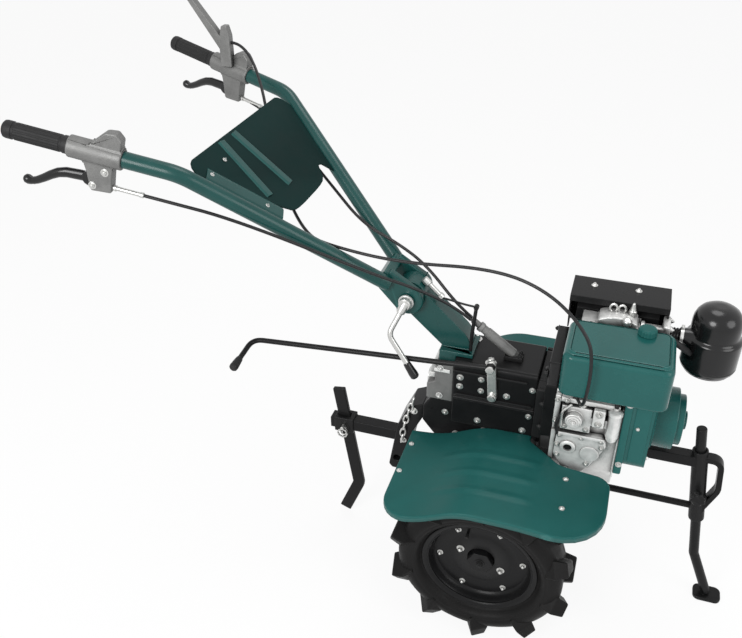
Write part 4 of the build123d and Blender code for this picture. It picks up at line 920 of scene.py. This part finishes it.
def cluster(name, slot, body, slabs=(), turnings=(), bolts=(), bars=(), rings=()):
    """Build one piece from blocks, turned forms, bolts, bent bars and rings of wire."""
    mesh = bmesh.new()
    for low, high, bevel in slabs:
        slab(mesh, low, high, bevel)
    for place, axis, rows in turnings:
        turned(mesh, rows, spot(*place), axis, 28)
    for place, axis, radius, height in bolts:
        bolt(mesh, spot(*place), axis, radius, height)
    for points, reach, radius in bars:
        bar(mesh, bent([spot(*p) for p in points], reach), radius, 12)
    for centre, first, second, wire in rings:
        loop(mesh, spot(*centre), first, second, wire)
    return add_piece(name, mesh, slot, body)


# Gear case
LOWER_HALF = 46
# columns: place along the machine, height, head radius
CASE_BOLTS = [(-104, 352, 5), (-104, 328, 5), (-58, 356, 4.5), (-57, 326, 4.5), (-1, 324, 5),
              (52, 352, 4.5), (50, 281, 4.5), (-60, 243, 5), (40, 240, 5)]
# columns: place along the machine, height
LOWER_BOLTS = [(-137, 236), (-47, 205), (30, 205), (-110, 180), (-60, 90), (40, 60)]
# columns: place across, height
FLANGE_BOLTS = [(88, 421), (92, 345), (92, 285), (70, 215)]
cluster("gear_case_bolts", "steel", "chassis",
        bolts=[((x, hand * CASE_HALF, z), (0, hand, 0), r, 6) for hand in SIDES for x, z, r in CASE_BOLTS]
        + [((x, hand * LOWER_HALF, z), (0, hand, 0), 5, 6) for hand in SIDES for x, z in LOWER_BOLTS]
        + [((-43, -44, 390), UP, 8, 12), ((-90, 38, 390), UP, 7, 9)],
        turnings=[((-38, -86, 402), NEAR, [(0, 9), (3, 9), (4, 7)]),
                  ((-31, -72, 322), NEAR, [(0, 9.5), (5, 9.5), (6, 7), (9, 6.4)])])
cluster("gear_case_ribs", "black_paint", "chassis",
        slabs=[((62, hand * 78 - 5, 244), (82, hand * 78 + 5, 372), 3) for hand in SIDES]
        + [((-112, hand * 64 - 3, 306), (54, hand * 64 + 3, 311), 1.5) for hand in SIDES]
        + [((-120, hand * 63.5 - 3, 366), (40, hand * 63.5 + 3, 371), 1.5) for hand in SIDES],
        bolts=[((80, hand * y, z), BACKWARD, 5, 6) for y, z in FLANGE_BOLTS for hand in SIDES],
        turnings=[((84, -70, 418), NEAR, [(0, 12), (8, 12), (10, 10)])]
        + [((20, hand * LOWER_HALF, 130), (0, hand, 0), [(0, 40), (10, 38), (14, 30), (14, 12)])
           for hand in SIDES])
cluster("rear_block_fittings", "alloy", "chassis",
        slabs=[((-178, -50, 328), (-160, 50, 344), 4), ((-164, -58, 352), (-128, 58, 362), 2)],
        turnings=[((-181, 0, 298), BACKWARD, [(0, 20), (6, 19), (7, 14)])],
        bolts=[((-150, -56, 362), NEAR, 5, 6), ((-150, -56, 288), NEAR, 5, 6),
               ((-150, 56, 362), FAR, 5, 6)])

# Engine
# columns: place along the machine, height
COVER_BOLTS = [(122, 298), (166, 300), (206, 300), (209, 283), (184, 234), (166, 203), (143, 210),
               (122, 245), (119, 272)]
cluster("engine_castings", "alloy", "chassis",
        slabs=[((104, -117, 318), (116, -104, 394), 3), ((116, -121, 383), (232, -104, 395), 3),
               ((182, -131, 340), (206, -104, 384), 3), ((118, -124.5, 300), (213, -120, 308), 2),
               ((236, -116, 206), (240, -103, 386), 1.5), ((104, -112, 214), (114, -104, 300), 2),
               ((138, -26, 470), (166, -4, 507), 3), ((240, -26, 470), (272, -2, 508), 3),
               ((106, 96, 250), (230, 106, 380), 4)],
        turnings=[((142, -120, 271), NEAR, [(0, 17), (4, 16), (6, 13), (6, 9), (2, 8)]),
                  ((187, -120, 262), NEAR, [(0, 20), (3, 19), (4, 16)]),
                  ((224, -119, 378), UP, [(-3, 15.4), (4, 15.4), (7, 12), (9, 6), (14, 6)]),
                  ((224, -119, 318), (0, 0, -1), [(0, 12), (8, 11), (13, 7)]),
                  ((146, -138, 352), NEAR, [(0, 14), (3, 13), (4, 9)]),
                  ((168, 106, 310), FAR, [(0, 42), (8, 40), (11, 34), (11, 12)])],
        bolts=[((146, -142, 352), NEAR, 6, 5)])
cluster("engine_fasteners", "steel", "chassis",
        bolts=[((x, -121, z), NEAR, 3.8, 5) for x, z in COVER_BOLTS]
        + [((110, -117, z), NEAR, 4.2, 5) for z in (330, 384)]
        + [((194, -131, z), NEAR, 4.6, 5) for z in (350, 374)]
        + [((128, -121, 389), NEAR, 4, 4), ((172, -125, 326), NEAR, 4, 4), ((128, -125, 326), NEAR, 4, 4)]
        + [((153, -15, 507), UP, 6, 8), ((258, -14, 508), UP, 6, 8)]
        + [((x, 106, z), FAR, 4.5, 5) for x in (114, 222) for z in (262, 368)]
        + [((271, -118, 350), NEAR, 4.5, 5), ((248, -121, 405), NEAR, 4.5, 5),
           ((248, -121, 250), NEAR, 4.5, 5)]
        + [((271, 118, 350), FAR, 4.5, 5), ((248, 118, 400), FAR, 4.5, 5)]
        + [((298, y, z), FORWARD, 4.5, 5) for y in (-98, 98) for z in (262, 400)]
        + [((141, 76, 548), UP, 4.4, 5), ((230, 79, 548), UP, 4.4, 5)],
        bars=[([(160, -115, 388), (160, -114, 412), (150, -60, 424), (134, -30, 446), (132, -12, 486)],
               10, 3),
              ([(122, -134, 332), (122, -134, 370), (138, -132, 388)], 6, 2.6)],
        turnings=[((160, -115, 376), UP, [(0, 9), (8, 9), (8, 6.4), (15, 6.4), (17, 4.5)]),
                  ((224, 16, 528), UP, [(0, 8), (9, 8), (11, 6), (24, 3.5), (27, 1.5)]),
                  ((216, -12, 518), (0, -0.4, 1), [(-4, 6), (4, 6), (6, 9), (12, 10), (17, 7.5), (19, 4)])],
        rings=[((186, 14, 538), (7, 0, 0), (0, 0, 9), 2.4), ((203, 14, 538), (7, 0, 0), (0, 0, 9), 2.4)])
cluster("hoses", "rubber", "chassis",
        bars=[([(224, -119, 386), (224, -119, 410), (216, -100, 440)], 9, 4.6),
              ([(256, 0, 506), (284, -20, 518), (318, -26, 502), (344, -6, 474), (360, 14, 456)], 12, 6.5),
              ([(118, -120, 300), (112, -128, 330), (120, -128, 356), (132, -120, 372)], 9, 4)])
cluster("black_fittings", "black_paint", "chassis",
        slabs=[((97, 25, 533), (295, 28.4, 547.6), 0.8), ((97.5, 26, 498), (100.5, 44, 547), 0.8),
               ((291.5, 26, 498), (294.5, 44, 547), 0.8)],
        turnings=[((142, -121, 271), NEAR, [(0, 8.4), (1.5, 8.2), (2, 6)])])
cluster("blower_trim", "green_paint", "chassis",
        slabs=[((240.5, -121, 224), (255, -116, 421), 2), ((240.5, 116, 224), (255, 121, 421), 2),
               ((262, -120, 262), (292, -116, 404), 1.8)],
        turnings=[((298, 0, 302), FORWARD, [(0, 74), (6, 74), (9, 70)])])

# Fender bolts
# columns: place along the machine, place across on the right side
FENDER_BOLTS = [(-196, -112), (-198, -203), (153, -255), (150, -170)]
cluster("fender_bolts", "steel", "chassis",
        bolts=[((x, hand * -y, arch_height(x)), UP, 3.8, 4) for x, y in FENDER_BOLTS for hand in SIDES])

# Rear hitch: keeper chain, clip and bolts
# columns: place along the machine, height
CHAIN = [(-213, 244), (-219, 226), (-224, 207), (-229, 188), (-233, 168), (-236, 148), (-238, 128)]
cluster("hitch_chain", "steel", "chassis",
        rings=[((x, -43.5, z), (2, 0, 12), (6, 0, 0) if count % 2 else (0, 4.5, 0), 2.2)
               for count, (x, z) in enumerate(CHAIN)]
        + [((-394, -20, 92), (8, 0, 0), (0, 0, 12), 1.8)],
        bolts=[((-212, -38, 214), NEAR, 6, 7), ((-236, -38, 120), NEAR, 5, 6),
               ((-212, 38, 214), FAR, 6, 7)])

# Clamp on top of the bracket's neck that leads the cables
# columns: place along the clamp, radius
CLAMP = [(0, 5), (2, 8), (16, 8.6), (18, 5.6), (48, 5.2), (50, 7.4), (58, 7.4), (60, 4)]
cluster("cable_clamp", "steel", "chassis", turnings=[((-207, -4, 549), (46, 0, -43), CLAMP)])

# Tray: panel, ridges, near flange and bolts on the plane of the tubes
TRAY_FROM = (-274.5, 0, 547.6)
TRAY_SLOPE = radians(40.32)
TRAY_WAY = Vector((-cos(TRAY_SLOPE), 0, sin(TRAY_SLOPE)))
TRAY_NORMAL = Vector((sin(TRAY_SLOPE), 0, cos(TRAY_SLOPE)))
TRAY_HALF_SHEET = 1.5
TRAY_ROUND = 0.8
# columns: place along the tubes, place across
TRAY_EDGE = [(450, 192), (446, 202), (438, 210), (408, 221), (232, 143), (272, 124), (275, 116), (274, 108),
             (262, 98), (250, 88), (244, 74), (242, 56), (241, 30)]
RIDGE_FOOT = 1.2
RIDGE_ROUND = 1.2
# columns: place of the start along and across, place of the end, half width, height
# The last row is the wide near flange strip; its lighter deep green against the darker panel is painted
# light on the tray's near slope
RIDGES = [((290, -20), (444, -27), 12, 5), ((300, -104), (444, -81), 12, 5),
          ((256, -122), (412, -194), 19, 4)]
# columns: place along the tubes, place across
TRAY_BOLTS = [(404, -186), (411, -122), (290, -138)]


def tray_spot(along, across, up):
    return spot(*TRAY_FROM) + (TRAY_WAY * along + Vector((0, across, 0)) + TRAY_NORMAL * up) * MM


def add_ridge(mesh, start, end, half, high):
    """Add a ridge on the tray from one place along and across to another."""
    way = Vector((end[0] - start[0], end[1] - start[1], 0)).normalized()
    side = Vector((-way.y, way.x, 0))
    section = ((half, RIDGE_FOOT), (half * 0.6, high), (-half * 0.6, high), (-half, RIDGE_FOOT))
    rings = []
    for along, across in (start, end):
        rings.append([mesh.verts.new(tray_spot(along + side.x * off, across + side.y * off, up))
                      for off, up in section])
    join_rings(mesh, rings)
    edges = {edge for ring in rings for vert in ring for edge in vert.link_edges}
    bmesh.ops.bevel(mesh, geom=list(edges), offset=RIDGE_ROUND * MM, segments=2, profile=0.5, affect="EDGES")


def make_tray():
    mesh = bmesh.new()
    edge = [(along, -across) for along, across in TRAY_EDGE]
    edge += [(along, across) for along, across in reversed(TRAY_EDGE)]
    low, high = ([mesh.verts.new(tray_spot(along, across, up)) for along, across in edge]
                 for up in (-TRAY_HALF_SHEET, TRAY_HALF_SHEET))
    join_rings(mesh, [low, high])
    bmesh.ops.bevel(mesh, geom=mesh.edges[:], offset=TRAY_ROUND * MM, segments=2, profile=0.5,
                    affect="EDGES")
    stand_for("tray_panel", mesh)
    ridges = bmesh.new()
    for row in RIDGES:
        add_ridge(ridges, *row)
    # The ridges and near flange take the lighter deep green, the lit copy against the panel's painted shade
    add_piece("tray_ridges", ridges, "green_paint", "handlebar", finish="deep_green")
    heads = bmesh.new()
    for along, across in TRAY_BOLTS:
        bolt(heads, tray_spot(along, across, 2 * TRAY_HALF_SHEET), TRAY_NORMAL, 2.8, 3.5)
    add_piece("tray_bolts", heads, "steel", "handlebar")


make_tray()
dress_nodes()
make_camera()
make_world()
make_floor()
for light in LIGHTS:
    make_area_light(*light)
